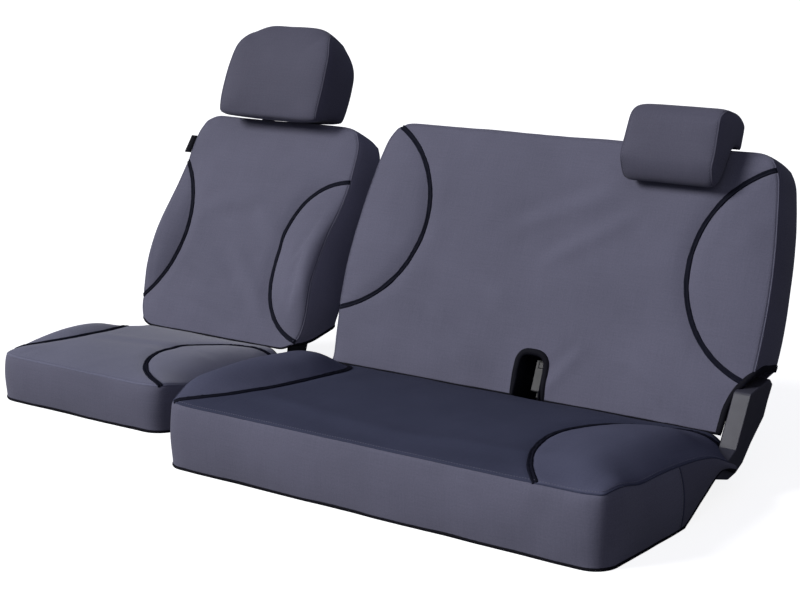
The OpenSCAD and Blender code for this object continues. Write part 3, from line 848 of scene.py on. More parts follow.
@dataclass(frozen=True)
class Tape:
    """A narrow sewn band by its cross-section: how far across, and how high, in metres."""

    section: tuple[tuple[float, float], ...]
    step: float = 0.004
    sunk: float = 0.0008

    def lay(self, name: str, pad: Pad, seams: Sequence[Seam]) -> bpy.types.Object:
        """Lays the band on a pad along some seams.

        Args:
            name: The piece's name.
            pad: The pad whose surface it follows.
            seams: The lines that it follows.

        Returns:
            The new piece, one closed band for each seam.
        """
        tree = BVHTree.FromBMesh(pad.mesh)
        points, faces = [], []
        ring = list(self.section) + [(x, -self.sunk) for x, _ in reversed(self.section)]
        size = len(ring)
        for seam in (s.spaced(self.step) for s in seams):
            start = len(points)
            for p, normal, side in zip(seam.points, seam.normals, seam.inward):
                for across, high in ring:
                    spot, facing, _, _ = tree.find_nearest(Vector(p + side * across))
                    lean = (Vector(normal) + facing).normalized()
                    points.append(spot + lean * high)
            rows = len(seam.points)
            for i in range(rows - 1):
                for j in range(size):
                    a, b = start + i * size, start + (i + 1) * size
                    faces.append((a + j, a + (j + 1) % size, b + (j + 1) % size, b + j))
            faces.append(tuple(start + j for j in reversed(range(size))))
            faces.append(tuple(start + (rows - 1) * size + j for j in range(size)))
        return band_object(name, pad.place, points, faces)


def band_object(name: str, place: Place, points: list, faces: list) -> bpy.types.Object:
    """Makes a piece of points and faces, with its normals turned outwards.

    Args:
        name: The piece's name.
        place: The frame that the points are given in.
        points: The points.
        faces: The faces.

    Returns:
        The new piece.
    """
    mesh = bpy.data.meshes.new(name)
    mesh.from_pydata([tuple(p) for p in points], [], faces)
    bm = bmesh.new()
    bm.from_mesh(mesh)
    bmesh.ops.recalc_face_normals(bm, faces=bm.faces)
    bm.to_mesh(mesh)
    bm.free()
    lay_flat(mesh)
    mesh.shade_smooth()
    return place.object(name, mesh)


PIPING_TAPE = Tape(((-0.0056, 0.0), (-0.0048, 0.0020), (-0.0027, 0.0029), (-0.0007, 0.0014),
                    (0.0007, 0.0014), (0.0027, 0.0029), (0.0048, 0.0020), (0.0056, 0.0)))
HEM_TAPE = Tape(((-0.0006, 0.0), (-0.0004, 0.0014), (0.0030, 0.0018), (0.0066, 0.0014), (0.0072, 0.0)))
BROAD_TAPE = Tape(((-0.0010, -0.0006), (-0.0006, 0.0018), (0.0050, 0.0026), (0.0105, 0.0020),
                   (0.0115, 0.0)))
FOLD_TAPE = Tape(((-0.0016, 0.0), (-0.0009, 0.0011), (0.0009, 0.0011), (0.0016, 0.0)))


@dataclass(frozen=True)
class Topstitch:
    """A row of stitches beside a seam."""

    offset: float = 0.005
    pitch: float = 0.0055
    length: float = 0.0038
    thread: float = 0.00045

    def sew(self, name: str, pad: Pad, seams: Sequence[Seam]) -> bpy.types.Object:
        """Sews one row along each seam, on its inward side.

        Args:
            name: The piece's name.
            pad: The pad whose surface takes the stitches.
            seams: The lines to follow.

        Returns:
            The new piece, which holds all the stitches.
        """
        tree = BVHTree.FromBMesh(pad.mesh)
        points, faces = [], []
        for seam in (s.spaced(self.pitch) for s in seams):
            tangents = np.gradient(seam.points, axis=0)
            for p, normal, side, way in zip(seam.points, seam.normals, seam.inward, tangents):
                spot, facing, _, _ = tree.find_nearest(Vector(p + side * self.offset))
                along = Vector(way).normalized()
                self._stitch(points, faces, spot, facing, along)
        return band_object(name, pad.place, points, faces)

    def _stitch(self, points: list, faces: list, spot: Vector, facing: Vector, along: Vector) -> None:
        """Adds one stitch: a short round thread that dips into the cloth at both ends.

        Args:
            points, faces: The mesh so far, which is added to.
            spot: The stitch's middle, on the cloth.
            facing, along: The way the cloth looks there, and the way the seam runs.
        """
        start, wide = len(points), facing.cross(along)
        stations = ((-0.5, 0.35), (-0.25, 1.0), (0.25, 1.0), (0.5, 0.35))
        for share, size in stations:
            middle = spot + along * (share * self.length) + facing * self.thread * (1.6 * size - 0.9)
            for k in range(6):
                turn = k * math.pi / 3
                spoke = wide * math.cos(turn) + facing * math.sin(turn)
                points.append(middle + spoke * self.thread * size)
        for i in range(len(stations) - 1):
            for k in range(6):
                a, b = start + 6 * i, start + 6 * (i + 1)
                faces.append((a + k, a + (k + 1) % 6, b + (k + 1) % 6, b + k))
        faces.append(tuple(start + k for k in reversed(range(6))))
        faces.append(tuple(start + 6 * (len(stations) - 1) + k for k in range(6)))


def sewn(piece: bpy.types.Object, finish: Finish, body: str, nodes: Sequence[str]) -> bpy.types.Object:
    """Finishes a sewn piece: its material, its body and the nodes that it stands for.

    Args:
        piece: The piece.
        finish: Its finish.
        body: The body that it rides on.
        nodes: The nodes that it replaces.

    Returns:
        The piece.
    """
    finish.put_on(piece)
    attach(piece, body)
    if nodes:
        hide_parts(*nodes)
    log.info("%s: %d points on %s", piece.name, len(piece.data.vertices), body)
    return piece


# ---------------------------------------------------------------- the two seats


def joint_axis(name: str) -> Vector:
    """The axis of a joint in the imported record."""
    return Vector(next(j for j in frame["joints"] if j["name"] == name)["axis"])


@dataclass
class Cushion:
    """A seat cushion: its cover's top, corner panels, skirt, sides, piping and hem."""

    seat: str
    width: float
    depth: float
    ridge: float
    rear: float
    crown: float
    bolster: tuple[float, float]
    level: Level
    sweep: tuple[float, float]
    core: float
    skirt_end: float
    top_finish: Finish
    corner_finish: Finish
    corner: float
    folds: Sequence[Fold] = ()
    rear_corner: float = 0.060
    rear_drop: float = 0.016
    cell: float = 0.011

    def place(self) -> Place:
        """The seat's frame: x across, y rearwards, z up, from the middle of its front hem."""
        low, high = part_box(f"{self.seat}_cushion_front_skirt")
        return Place(Vector(((low.x + high.x) / 2, low.y, 0)), Vector((0, 0, 1)), Vector((0, 1, 0)))

    def hem(self, y: np.ndarray) -> np.ndarray:
        """Height of the side hem at each distance from the front: it sweeps up to the hinge."""
        start, end = self.sweep
        return np.clip((y - start) / (end - start), 0, 1.3) * (self.rear - 0.004)

    def top(self, x: np.ndarray, y: np.ndarray) -> np.ndarray:
        """Shapes the cushion's top.

        Args:
            x, y: Places across the cushion and from its front.

        Returns:
            The height of the top at each place.
        """
        t = np.clip(y / self.depth, 0, 1)
        flat = self.ridge - (self.ridge - self.rear) * t + self.crown * t * (1 - t)
        inside = self.level(np.stack([x, y, y], 1))
        from_edge = self.width / 2 - np.abs(x)
        fade = ease(y / 0.08) * ease((self.depth - y) / 0.16)
        at_left = ease(0.5 - x / 0.1)
        swell = (self.bolster[0] * at_left * ease(inside / 0.055)
                 + self.bolster[1] * (1 - at_left) * ease(inside / 0.10)) * fade
        edge_drop = (0.034 - 0.018 * at_left) * ease((y - 0.01) / 0.12) + self.rear_drop * t ** 3
        drop = (1 - ease(from_edge / (0.075 - 0.035 * at_left))) * edge_drop
        return flat + swell - drop

    def shape(self, shares: np.ndarray) -> np.ndarray:
        """Maps the box net to the cushion.

        Args:
            shares: Each point's three shares of the box.

        Returns:
            The points, in the seat's frame.
        """
        half = self.width / 2
        flat = np.stack([(2 * shares[:, 0] - 1) * half, shares[:, 1] * self.depth, shares[:, 2]], 1)
        flat = round_corners(flat, half, 0.0, self.depth, (self.corner, self.rear_corner))
        x, y = flat[:, 0], flat[:, 1]
        top = self.top(x, y)
        foot = np.where(np.abs(x) > self.core, np.minimum(self.hem(y), top - 0.014), 0.0)
        z = foot + shares[:, 2] * (top - foot)
        bulge = 0.004 * np.sin(np.pi * shares[:, 2])
        return np.stack([x * (1 + bulge / half), y - bulge * (1 - ease(y / 0.05)), z], 1)

    def build(self) -> None:
        """Builds the cushion's pieces and dresses them."""
        count = tuple(max(6, round(s / self.cell)) for s in (self.width, self.depth, self.ridge))
        pad = Pad(f"{self.seat}_cushion", self.place(), count, self.shape, self.crisp, smoothing=7,
                  cap=0.007, level=self.level, folds=self.folds)
        pad.build()
        self._part_panels(pad)
        seat, body = self.seat, "base"
        foam = pad.filling(f"{seat}_cushion_block")
        FOAM.put_on(foam)
        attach(foam, body)
        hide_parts(f"{seat}_cushion_foam")
        # The side panels take the darker side canvas, which is painted shade.
        plans = (
            ("centre", (Face.FRONT,), self.top_finish, "centre_panel"),
            ("corners", (Face.CORNER,), self.corner_finish, "corner_panels"),
            ("skirt", (Face.LOW,), CANVAS, "front_skirt"),
            ("left_side", (Face.LEFT,), SIDE_CANVAS_PAINTED_SHADE, "side_left"),
            ("right_side", (Face.RIGHT,), SIDE_CANVAS_PAINTED_SHADE, "side_right"),
        )
        for title, tags, finish, node in plans:
            sewn(pad.panel(f"{seat}_cushion_{title}", tags), finish, body, [f"{seat}_cushion_{node}"])
        walls = (Face.LOW, Face.LEFT, Face.RIGHT)
        piped = pad.seams((Face.CORNER,), (Face.FRONT,))
        sewn(PIPING_TAPE.lay(f"{seat}_cushion_piped_seams", pad, piped), PIPING, body,
             [f"{seat}_cushion_piping"])
        hems = pad.seams(walls, (Face.BACK,))
        sewn(HEM_TAPE.lay(f"{seat}_cushion_bound_hem", pad, hems), BINDING, body,
             [f"{seat}_cushion_hem"])
        ridge = pad.seams((Face.FRONT, Face.CORNER), walls)
        ends = pad.seams((Face.LOW,), (Face.LEFT, Face.RIGHT))
        sewn(FOLD_TAPE.lay(f"{seat}_cushion_seam_folds", pad, ridge + ends), self.top_finish, body, [])
        sewn(Topstitch().sew(f"{seat}_cushion_topstitch", pad, ridge + ends), THREAD, body, [])

    @staticmethod
    def crisp(shares: np.ndarray) -> np.ndarray:
        """Which points keep their line: the open underside and the top's rear edge."""
        return (shares[:, 2] < 1e-6) | ((shares[:, 1] > 1 - 1e-6) & (shares[:, 2] > 1 - 1e-6))

    def _part_panels(self, pad: Pad) -> None:
        """Wraps the skirt round the front corners, and the top over the rear between the sides.

        Args:
            pad: The pad, whose faces are tagged anew.
        """
        for f in pad.mesh.faces:
            middle = f.calc_center_median()
            if f.material_index in (Face.LEFT, Face.RIGHT) and middle.y < self.skirt_end:
                f.material_index = Face.LOW
            elif f.material_index == Face.HIGH:
                f.material_index = Face.FRONT


@dataclass
class Backrest:
    """A backrest: its cover's panels, piping, hems and stitching round its foam."""

    seat: str
    height: float
    thick: float
    widths: tuple[float, float, float]
    widest: float
    corner: float
    raised: float
    crown: float
    level: Level
    slide: str
    corners_node: str
    folds: Sequence[Fold] = ()
    foot_corner: float = 0.0
    ramp: float = 0.085
    taper: float = 0.0
    # The gusset band's finish: by default the side canvas with painted shade; the bucket back's takes the
    # lighter copy with painted light.
    band_finish: Finish = SIDE_CANVAS_PAINTED_SHADE
    foot: float = 0.088
    cell: float = 0.011

    def place(self) -> Place:
        """Finds the backrest's frame.

        Returns:
            The frame: across, up the face, and out of it, from the middle of its lower edge.
        """
        up = joint_axis(self.slide)
        low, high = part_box(f"{self.seat}_back_centre_panel")
        origin = Vector(((low.x + high.x) / 2, low.y, low.z + 0.002 * up.y))
        return Place(origin, Vector((0, -up.z, up.y)), up)

    def half_width(self, v: np.ndarray) -> np.ndarray:
        """Shapes the backrest's sides: widest at one height, easing in from it.

        Args:
            v: Heights up the face.

        Returns:
            Half the width at each height.
        """
        foot, most, head = self.widths
        above = most - (most - head) * ((v - self.widest) / (self.height - self.widest)) ** 2
        below = most - (most - foot) * ((self.widest - v) / self.widest) ** 2
        return np.where(v > self.widest, above, below)

    def front(self, u: np.ndarray, v: np.ndarray) -> np.ndarray:
        """Shapes the front: a slight crown, and the bolsters inside the piping.

        Args:
            u, v: Places across and up the face.

        Returns:
            How far out the front stands at each place.
        """
        side = np.abs(u) / self.half_width(v)
        crown = self.crown * (1 - side ** 4) * np.sin(np.pi * np.clip(v / self.height, 0, 1)) ** 0.5
        inside = self.level(np.stack([u, v, v], 1))
        ramp = np.clip(inside / self.ramp, 0, 1) ** 1.2 * (1 - self.taper * ease((v - 0.12) / 0.28))
        return crown + self.raised * ramp * (1 - 0.3 * ease((side - 0.9) / 0.1))

    def shape(self, shares: np.ndarray) -> np.ndarray:
        """Maps the box net to the backrest.

        Args:
            shares: Each point's three shares of the box.

        Returns:
            The points, in the backrest's frame.
        """
        foot = (1 - shares[:, 2]) * self.foot
        v = foot + shares[:, 1] * (self.height - foot)
        flat = np.stack([2 * shares[:, 0] - 1, v], 1)
        flat = round_corners(flat * [self.widths[1], 1], self.widths[1], 0.0, self.height,
                             (self.foot_corner, self.corner))
        v = flat[:, 1]
        u = flat[:, 0] / self.widths[1] * self.half_width(v)
        w = -self.thick + shares[:, 2] * (self.thick + self.front(u, v))
        swell = 0.004 * np.sin(np.pi * shares[:, 2])
        return np.stack([u * (1 + swell / self.widths[1]), v, w], 1)

    def build(self) -> None:
        """Builds the backrest's pieces and dresses them."""
        sizes = (2 * self.widths[1], self.height, self.thick)
        count = tuple(max(8, round(s / self.cell)) for s in sizes)
        pad = Pad(f"{self.seat}_back", self.place(), count, self.shape, lambda s: s[:, 1] < 1e-6,
                  smoothing=3, cap=0.006, level=self.level, folds=self.folds)
        pad.build()
        self.trim(pad)
        seat, body = self.seat, f"{self.seat}_back"
        foam = pad.filling(f"{seat}_back_block")
        FOAM.put_on(foam)
        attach(foam, body)
        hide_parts(f"{seat}_back_foam")
        self.relieve(foam)
        gusset = (Face.LEFT, Face.RIGHT, Face.HIGH)
        # The rear panel takes the darker side canvas, which is painted shade.
        plans = (
            ("centre", (Face.FRONT,), CANVAS, "centre_panel"),
            ("corners", (Face.CORNER,), CANVAS, self.corners_node),
            ("side_band", gusset, self.band_finish, "gusset"),
            ("rear", (Face.BACK,), SIDE_CANVAS_PAINTED_SHADE, "rear_panel"),
        )
        for title, tags, finish, node in plans:
            sewn(pad.panel(f"{seat}_back_{title}", tags), finish, body, [f"{seat}_back_{node}"])
        piped = pad.seams((Face.CORNER,), (Face.FRONT,))
        sewn(PIPING_TAPE.lay(f"{seat}_back_piped_seams", pad, piped), PIPING, body,
             [f"{seat}_back_piping"])
        faces = (Face.FRONT, Face.CORNER)
        hems = pad.seams((*faces, *gusset, Face.BACK), (Face.LOW,))
        sewn(HEM_TAPE.lay(f"{seat}_back_bound_hem", pad, hems), BINDING, body, [f"{seat}_back_hem"])
        self.bind(pad)
        edges = pad.seams(faces, gusset)
        rear = pad.seams((Face.BACK,), gusset)
        sewn(FOLD_TAPE.lay(f"{seat}_back_seam_folds", pad, edges + rear), CANVAS, body, [])
        sewn(Topstitch().sew(f"{seat}_back_topstitch", pad, edges + rear), THREAD, body, [])

    def trim(self, pad: Pad) -> None:
        """Cuts openings in the cover. A plain backrest has none."""

    def relieve(self, foam: bpy.types.Object) -> None:
        """Cuts the foam back behind the cover's openings. A plain backrest has none."""

    def bind(self, pad: Pad) -> None:
        """Binds the cover's openings. A plain backrest has none."""


def box_level(u0: float, u1: float, v1: float, radius: float) -> Level:
    """Draws an upright slot with round upper corners, open at its foot.

    Args:
        u0, u1: Its two sides.
        v1: Its top.
        radius: Its upper corners' radius.

    Returns:
        A level that is above 0 inside the slot.
    """
    middle, half = (u0 + u1) / 2, (u1 - u0) / 2

    def level(points: np.ndarray) -> np.ndarray:
        """How far inside the slot each point is."""
        du = np.abs(points[:, 0] - middle) - (half - radius)
        dv = points[:, 1] - (v1 - radius)
        outside = np.hypot(np.maximum(du, 0), np.maximum(dv, 0))
        return radius - outside - np.minimum(np.maximum(du, dv), 0)

    return level


@dataclass
class BenchBackrest(Backrest):
    """The bench's backrest, with its buckle slot and the cut-out round its right hinge."""

    slot: tuple[float, float, float, float] = (-0.006, 0.050, 0.084, 0.016)
    cutout: float = 0.4295
    hinge: float = 0.402
    swing: float = 0.076

    def hinge_level(self, points: np.ndarray) -> np.ndarray:
        """Shapes the hinge cut-out: an edge that climbs outwards, and the shield's room behind.

        Args:
            points: Points of the cover, in the backrest's frame.

        Returns:
            How far inside the cut-out each point is.
        """
        u, v, w = points[:, 0], points[:, 1], points[:, 2]
        reach = [0.0, 0.006, 0.014, 0.026, 0.038, 0.052]
        edge = np.interp(u - self.cutout, reach, [-0.02, 0.048, 0.074, 0.094, 0.108, 0.120])
        climb = (edge - v - w * 0.30) * 0.8
        room = self.swing - np.hypot(v - 0.052, w + 0.040)
        return np.maximum(climb, np.minimum.reduce([room, u - self.cutout, -0.02 - w]))

    def trim(self, pad: Pad) -> None:
        """Cuts the buckle slot through the front and the cut-out through all but the foot."""
        pad.trim(box_level(*self.slot), Face.FRONT)
        for tag in (Face.FRONT, Face.CORNER, Face.RIGHT, Face.BACK):
            pad.trim(self.hinge_level, tag)

    def bind(self, pad: Pad) -> None:
        """Binds the slot and the cut-out with a broad tape."""
        kept = (Face.FRONT, Face.CORNER, Face.RIGHT)
        edges = pad.seams(kept, (Face.GONE,))
        sewn(BROAD_TAPE.lay("bench_back_bound_openings", pad, edges), BINDING, "bench_back", [])

    def relieve(self, foam: bpy.types.Object) -> None:
        """Cuts the slot's room and the hinge's room out of the foam."""
        u0, u1, v1, _ = self.slot
        rooms = (((u0 - 0.004, -0.03, -0.07), (u1 + 0.004, v1 + 0.004, 0.05)),
                 ((self.hinge, -0.03, -0.12), (0.55, 0.158, 0.06)))
        for low, high in rooms:
            carve(foam, self.place(), low, high)


def carve(piece: bpy.types.Object, place: Place, low: Sequence[float], high: Sequence[float]) -> None:
    """Cuts a box out of a piece.

    Args:
        piece: The piece, which keeps a clean mesh.
        place: The frame that the box is given in.
        low, high: The box's corners.
    """
    bm = bmesh.new()
    bmesh.ops.create_cube(bm, size=1.0)
    for v in bm.verts:
        v.co = Vector([l + (c + 0.5) * (h - l) for l, h, c in zip(low, high, v.co)])
    mesh = bpy.data.meshes.new("cutter")
    bm.to_mesh(mesh)
    bm.free()
    cutter = place.object("cutter", mesh)
    cut = piece.modifiers.new("cut", "BOOLEAN")
    cut.operation, cut.object, cut.solver = "DIFFERENCE", cutter, "EXACT"
    seen = piece.evaluated_get(bpy.context.evaluated_depsgraph_get())
    made = bpy.data.meshes.new_from_object(seen)
    piece.modifiers.remove(cut)
    piece.data = made
    bpy.data.objects.remove(cutter)


@dataclass
class Headrest:
    """A headrest: one panel over the front, top and rear, and a panel at each end."""

    seat: str
    place: Place
    centre: float
    half: Callable[[np.ndarray], np.ndarray]
    side: Callable[[np.ndarray, np.ndarray], tuple[np.ndarray, np.ndarray]]
    height: tuple[float, float]
    corner: float
    finish: Finish
    counts: tuple[int, int, int]
    smoothing: int = 5

    def shape(self, shares: np.ndarray) -> np.ndarray:
        """Maps the box net to the headrest.

        Args:
            shares: Each point's three shares of the box.

        Returns:
            The points, in the backrest's frame.
        """
        v, w = self.side(shares[:, 1], shares[:, 2])
        low, high = self.height
        flat = np.stack([2 * shares[:, 0] - 1, v], 1) * [0.15, 1]
        flat = round_corners(flat, 0.15, low, high, (0.012, self.corner))
        u = flat[:, 0] / 0.15 * self.half(flat[:, 1])
        return np.stack([self.centre + u, flat[:, 1], w], 1)

    def build(self) -> None:
        """Builds the headrest's pieces and dresses them."""
        seat, body = self.seat, f"{self.seat}_headrest"
        pad = Pad(f"{seat}_headrest", self.place, self.counts, self.shape,
                  lambda s: np.zeros(len(s), bool), self.smoothing, cap=0.007)
        pad.build()
        foam = pad.filling(f"{seat}_headrest_block")
        FOAM.put_on(foam)
        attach(foam, body)
        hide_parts(f"{seat}_headrest_core")
        wrap = (Face.FRONT, Face.HIGH, Face.BACK, Face.LOW)
        ends = (Face.LEFT, Face.RIGHT)
        sewn(pad.panel(f"{seat}_headrest_cover", wrap), self.finish, body, [f"{seat}_headrest_wrap"])
        # The end panels take the darker side canvas, which is painted shade.
        sewn(pad.panel(f"{seat}_headrest_ends", ends), SIDE_CANVAS_PAINTED_SHADE, body, [f"{seat}_headrest_sides"])
        edges = pad.seams(wrap, ends)
        sewn(FOLD_TAPE.lay(f"{seat}_headrest_seam_folds", pad, edges), self.finish, body, [])
        sewn(Topstitch().sew(f"{seat}_headrest_topstitch", pad, edges), THREAD, body, [])


# ---------------------------------------------------------------- hard parts and small parts


@dataclass(frozen=True)
class HardPart:
    """A carried-over part: its finish, and how much its edges are broken."""

    node: str
    finish: Finish
    edge: float = 0.0008

    def dress(self) -> None:
        """Gives the part its finish and eases its edges."""
        piece = frame["nodes"][self.node]
        self.finish.put_on(piece)
        if self.edge:
            weld = piece.modifiers.new("weld", "WELD")
            weld.merge_threshold = 1e-5
            bevel = piece.modifiers.new("edge", "BEVEL")
            bevel.width, bevel.segments, bevel.limit_method = self.edge, 2, "ANGLE"
            bevel.angle_limit = math.radians(40)
            bevel.use_clamp_overlap = True
        log.info("%s: %s", self.node, self.finish.name)


@dataclass
class BucklePocket:
    """The bound slot in the bench back and the lined pocket behind it."""

    place: Place
    slot: tuple[float, float, float, float]
    depth: float = 0.060

    def outline(self, grow: float) -> list[tuple[float, float]]:
        """Draws the slot's outline, up one side, over and down the other.

        Args:
            grow: How far outside the slot it runs.

        Returns:
            The outline's points, across and up.
        """
        u0, u1, v1, radius = self.slot
        r = radius + grow
        left = [(u0 + radius - r * math.cos(t), v1 - radius + r * math.sin(t))
                for t in np.linspace(0, math.pi / 2, 7)]
        right = [(u1 - radius + r * math.sin(t), v1 - radius + r * math.cos(t))
                 for t in np.linspace(0, math.pi / 2, 7)]
        return [(u0 - grow, 0.0), *left, *right, (u1 + grow, 0.0)]

    def build(self) -> None:
        """Builds the pocket's lining: a wall round the slot and a back to it."""
        rims = [(0.0035, 0.006), (0.0015, 0.0075), (-0.001, 0.006), (-0.001, -0.02),
                (-0.002, -self.depth)]
        points, faces = [], []
        for grow, w in rims:
            points += [(u, v, w) for u, v in self.outline(grow)]
        size = len(self.outline(0.0))
        for i in range(len(rims) - 1):
            for j in range(size - 1):
                a, b = i * size, (i + 1) * size
                faces.append((a + j, b + j, b + j + 1, a + j + 1))
        faces.append(tuple(range((len(rims) - 1) * size, len(rims) * size)))
        lining = band_object("bench_buckle_pocket", self.place, points, faces)
        wall = lining.modifiers.new("lining", "SOLIDIFY")
        wall.thickness, wall.offset = 0.0012, 0
        sewn(lining, BINDING, "bench_back", ["bench_buckle_binding"])


@dataclass
class LabelTag:
    """A small blank folded tag sewn into the bucket back's left seam."""

    place: Place
    wide: float = 0.042
    inset: float = 0.008
    thick: float = 0.0008

    def build(self) -> None:
        """Builds the tag as a folded tape: two layers and a round fold."""
        low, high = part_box("bucket_label_tag")
        middle = self.place.matrix().inverted() @ ((low + high) / 2)
        path = [(0.008, 0.0011), (-0.009, 0.0014), (-0.0105, 0.0), (-0.009, -0.0014),
                (0.008, -0.0011)]
        points, faces = [], []
        for k, v in enumerate(np.linspace(-self.wide / 2, self.wide / 2, 9)):
            lean = 0.14 * v
            across = middle.x + self.inset + lean
            points += [(across + x, middle.y + v, middle.z + z) for x, z in path]
            if k:
                for j in range(len(path) - 1):
                    a, b = (k - 1) * len(path), k * len(path)
                    faces.append((a + j, a + j + 1, b + j + 1, b + j))
        tag = band_object("bucket_blank_tag", self.place, points, faces)
        tape = tag.modifiers.new("tape", "SOLIDIFY")
        tape.thickness, tape.offset = self.thick, 0
        sewn(tag, BINDING, "bucket_back", ["bucket_label_tag"])


def hard_parts() -> list[HardPart]:
    """Lists the parts that keep their own shape.

    Returns:
        Every carried-over part with its finish.
    """
    parts = []
    for seat in ("bench", "bucket"):
        parts += [HardPart(f"{seat}_{title}", STEEL)
                  for title in ("base_frame", "seat_pan", "back_frame")]
        parts += [HardPart(f"{seat}_pivot_bolts", BRIGHT, 0.0006),
                  HardPart(f"{seat}_headrest_posts", BRIGHT, 0.0),
                  HardPart(f"{seat}_headrest_guides", PLASTIC),
                  HardPart(f"{seat}_headrest_lock", PLASTIC),
                  HardPart(f"{seat}_cushion_straps", WEBBING, 0.0003)]
    parts += [HardPart("bench_hinge_shield", SHIELD, 0.003),
              HardPart("bench_buckle_stalk", WEBBING, 0.0005),
              HardPart("bench_buckle_housing", PLASTIC, 0.002), HardPart("bench_buckle_button", PLASTIC),
              HardPart("bucket_hinge_shields", PLASTIC, 0.0015),
              HardPart("bucket_recliner_lever", PLASTIC, 0.002)]
    return parts


# ---------------------------------------------------------------- studio


@dataclass
class Studio:
    """Pale floor, soft light and the camera, placed from the bench's front hem."""

    place: Place
    lens: float = 78.98
    yaw: float = 36.496
    pitch: float = 12.307
    stand: tuple[float, float, float] = (1.7417, -2.2501, 0.9965)
    aim: tuple[float, float, float] = (0.0, 0.0, 0.35)
    surround: tuple[float, float, float, float] = (0.085, 0.09, 0.13, 1)
    lights: tuple[tuple[str, tuple[float, float, float], float, float], ...] = (
        ("key", (-3.3, -3.7, 3.3), 2.68, 24.0),
        ("fill", (2.4, -3.0, 3.0), 0.28, 60.0),
    )

    def build(self) -> None:
        """Builds the floor, the lights and the camera."""
        self._floor()
        self._lights()
        scene = bpy.context.scene
        data = bpy.data.cameras.new("camera")
        data.lens, data.sensor_width = self.lens, 36.0
        camera = bpy.data.objects.new("camera", data)
        scene.collection.objects.link(camera)
        camera.location = self.place.origin + Vector(self.stand)
        camera.rotation_euler = (math.radians(90 - self.pitch), 0, math.radians(self.yaw))
        scene.camera = camera
        scene.view_settings.view_transform = "Standard"

    def _floor(self) -> None:
        """Builds the pale floor."""
        bm = bmesh.new()
        bmesh.ops.create_grid(bm, x_segments=1, y_segments=1, size=40)
        mesh = bpy.data.meshes.new("floor")
        bm.to_mesh(mesh)
        bm.free()
        floor = bpy.data.objects.new("floor", mesh)
        bpy.context.scene.collection.objects.link(floor)
        floor.location.z = -0.0005
        paint = bpy.data.materials.new("floor_paint")
        paint.use_nodes = True
        sheet = NodeSheet(paint.node_tree)
        shader = paint.node_tree.nodes["Principled BSDF"]
        seen = sheet.add("ShaderNodeLightPath").outputs["Is Camera Ray"]
        tint = sheet.mix(seen, (0.16, 0.16, 0.17, 1), (0.6, 0.6, 0.62, 1))
        glow = sheet.math("MULTIPLY", seen, 0.86)
        paint.node_tree.links.new(tint, shader.inputs["Base Color"])
        paint.node_tree.links.new(glow, shader.inputs["Emission Strength"])
        shader.inputs["Emission Color"].default_value = (1, 1, 1, 1)
        shader.inputs["Roughness"].default_value = 0.9
        mesh.materials.append(paint)

    def _lights(self) -> None:
        """Sets a soft key at the front left, a weak fill at the right and a dim surround."""
        world = bpy.data.worlds.new("surround")
        world.use_nodes = True
        sheet = NodeSheet(world.node_tree)
        back = world.node_tree.nodes["Background"]
        seen = sheet.add("ShaderNodeLightPath").outputs["Is Camera Ray"]
        colour = sheet.mix(seen, self.surround, (1, 1, 1, 1))
        world.node_tree.links.new(colour, back.inputs["Color"])
        bpy.context.scene.world = world
        for name, spot, power, spread in self.lights:
            data = bpy.data.lights.new(name, "SUN")
            data.energy, data.angle = power, math.radians(spread)
            light = bpy.data.objects.new(name, data)
            bpy.context.scene.collection.objects.link(light)
            light.location = Vector(spot)
            facing = Vector(self.aim) - light.location
            light.rotation_euler = facing.to_track_quat("-Z", "Y").to_euler()


# ---------------------------------------------------------------- the whole set


@dataclass(frozen=True)
class Oval:
    """The outline of a piped corner panel: its centre, its two radii and how square it is."""

    u: float
    v: float
    wide: float
    tall: float
    power: float = 2.0

    def inside(self, points: np.ndarray) -> np.ndarray:
        """How far inside the outline each point is, in metres."""
        du, dv = np.abs(points[:, 0] - self.u) / self.wide, np.abs(points[:, 1] - self.v) / self.tall
        return self.wide * (1 - (du ** self.power + dv ** self.power) ** (1 / self.power))


def either(left: Oval, right: Oval) -> Level:
    """Joins the outlines of a cover's two corner panels.

    Args:
        left, right: The outline of each.

    Returns:
        A level that is above 0 inside either.
    """
    return lambda points: np.where(points[:, 0] < 0, left.inside(points), right.inside(points))


def bench_headrest_side(up: np.ndarray, out: np.ndarray) -> tuple[np.ndarray, np.ndarray]:
    """Draws the bench headrest from the side: a roll that hangs over the backrest's top edge.

    Args:
        up, out: Shares of its height and of its depth.

    Returns:
        The height up the backrest's face, and the distance out of it.
    """
    w = -0.044 + out * 0.110
    low = np.interp(w, [0.004, 0.014, 0.045, 0.066], [0.527, 0.430, 0.438, 0.474])
    high = np.interp(w, [-0.044, -0.030, -0.008, 0.030, 0.052, 0.066],
                     [0.574, 0.584, 0.590, 0.588, 0.580, 0.556])
    return low + up * (high - low), w


def bucket_headrest_side(up: np.ndarray, out: np.ndarray) -> tuple[np.ndarray, np.ndarray]:
    """Draws the bucket headrest from the side: its face leans forward of the backrest's.

    Args:
        up, out: Shares of its height and of its depth.

    Returns:
        The height up the backrest's face, and the distance out of it.
    """
    v = 0.529 + up * 0.203
    rear = np.interp(v, [0.529, 0.600, 0.650, 0.690, 0.732], [-0.044, -0.043, -0.040, -0.024, 0.002])
    face = np.interp(v, [0.529, 0.560, 0.620, 0.680, 0.710, 0.732],
                     [0.058, 0.067, 0.075, 0.077, 0.068, 0.052])
    w = rear + out * (face - rear)
    hang = np.interp(w, [0.0, 0.020, 0.058], [0.0, 0.014, 0.032])
    return v - hang * (1 - up) ** 2, w


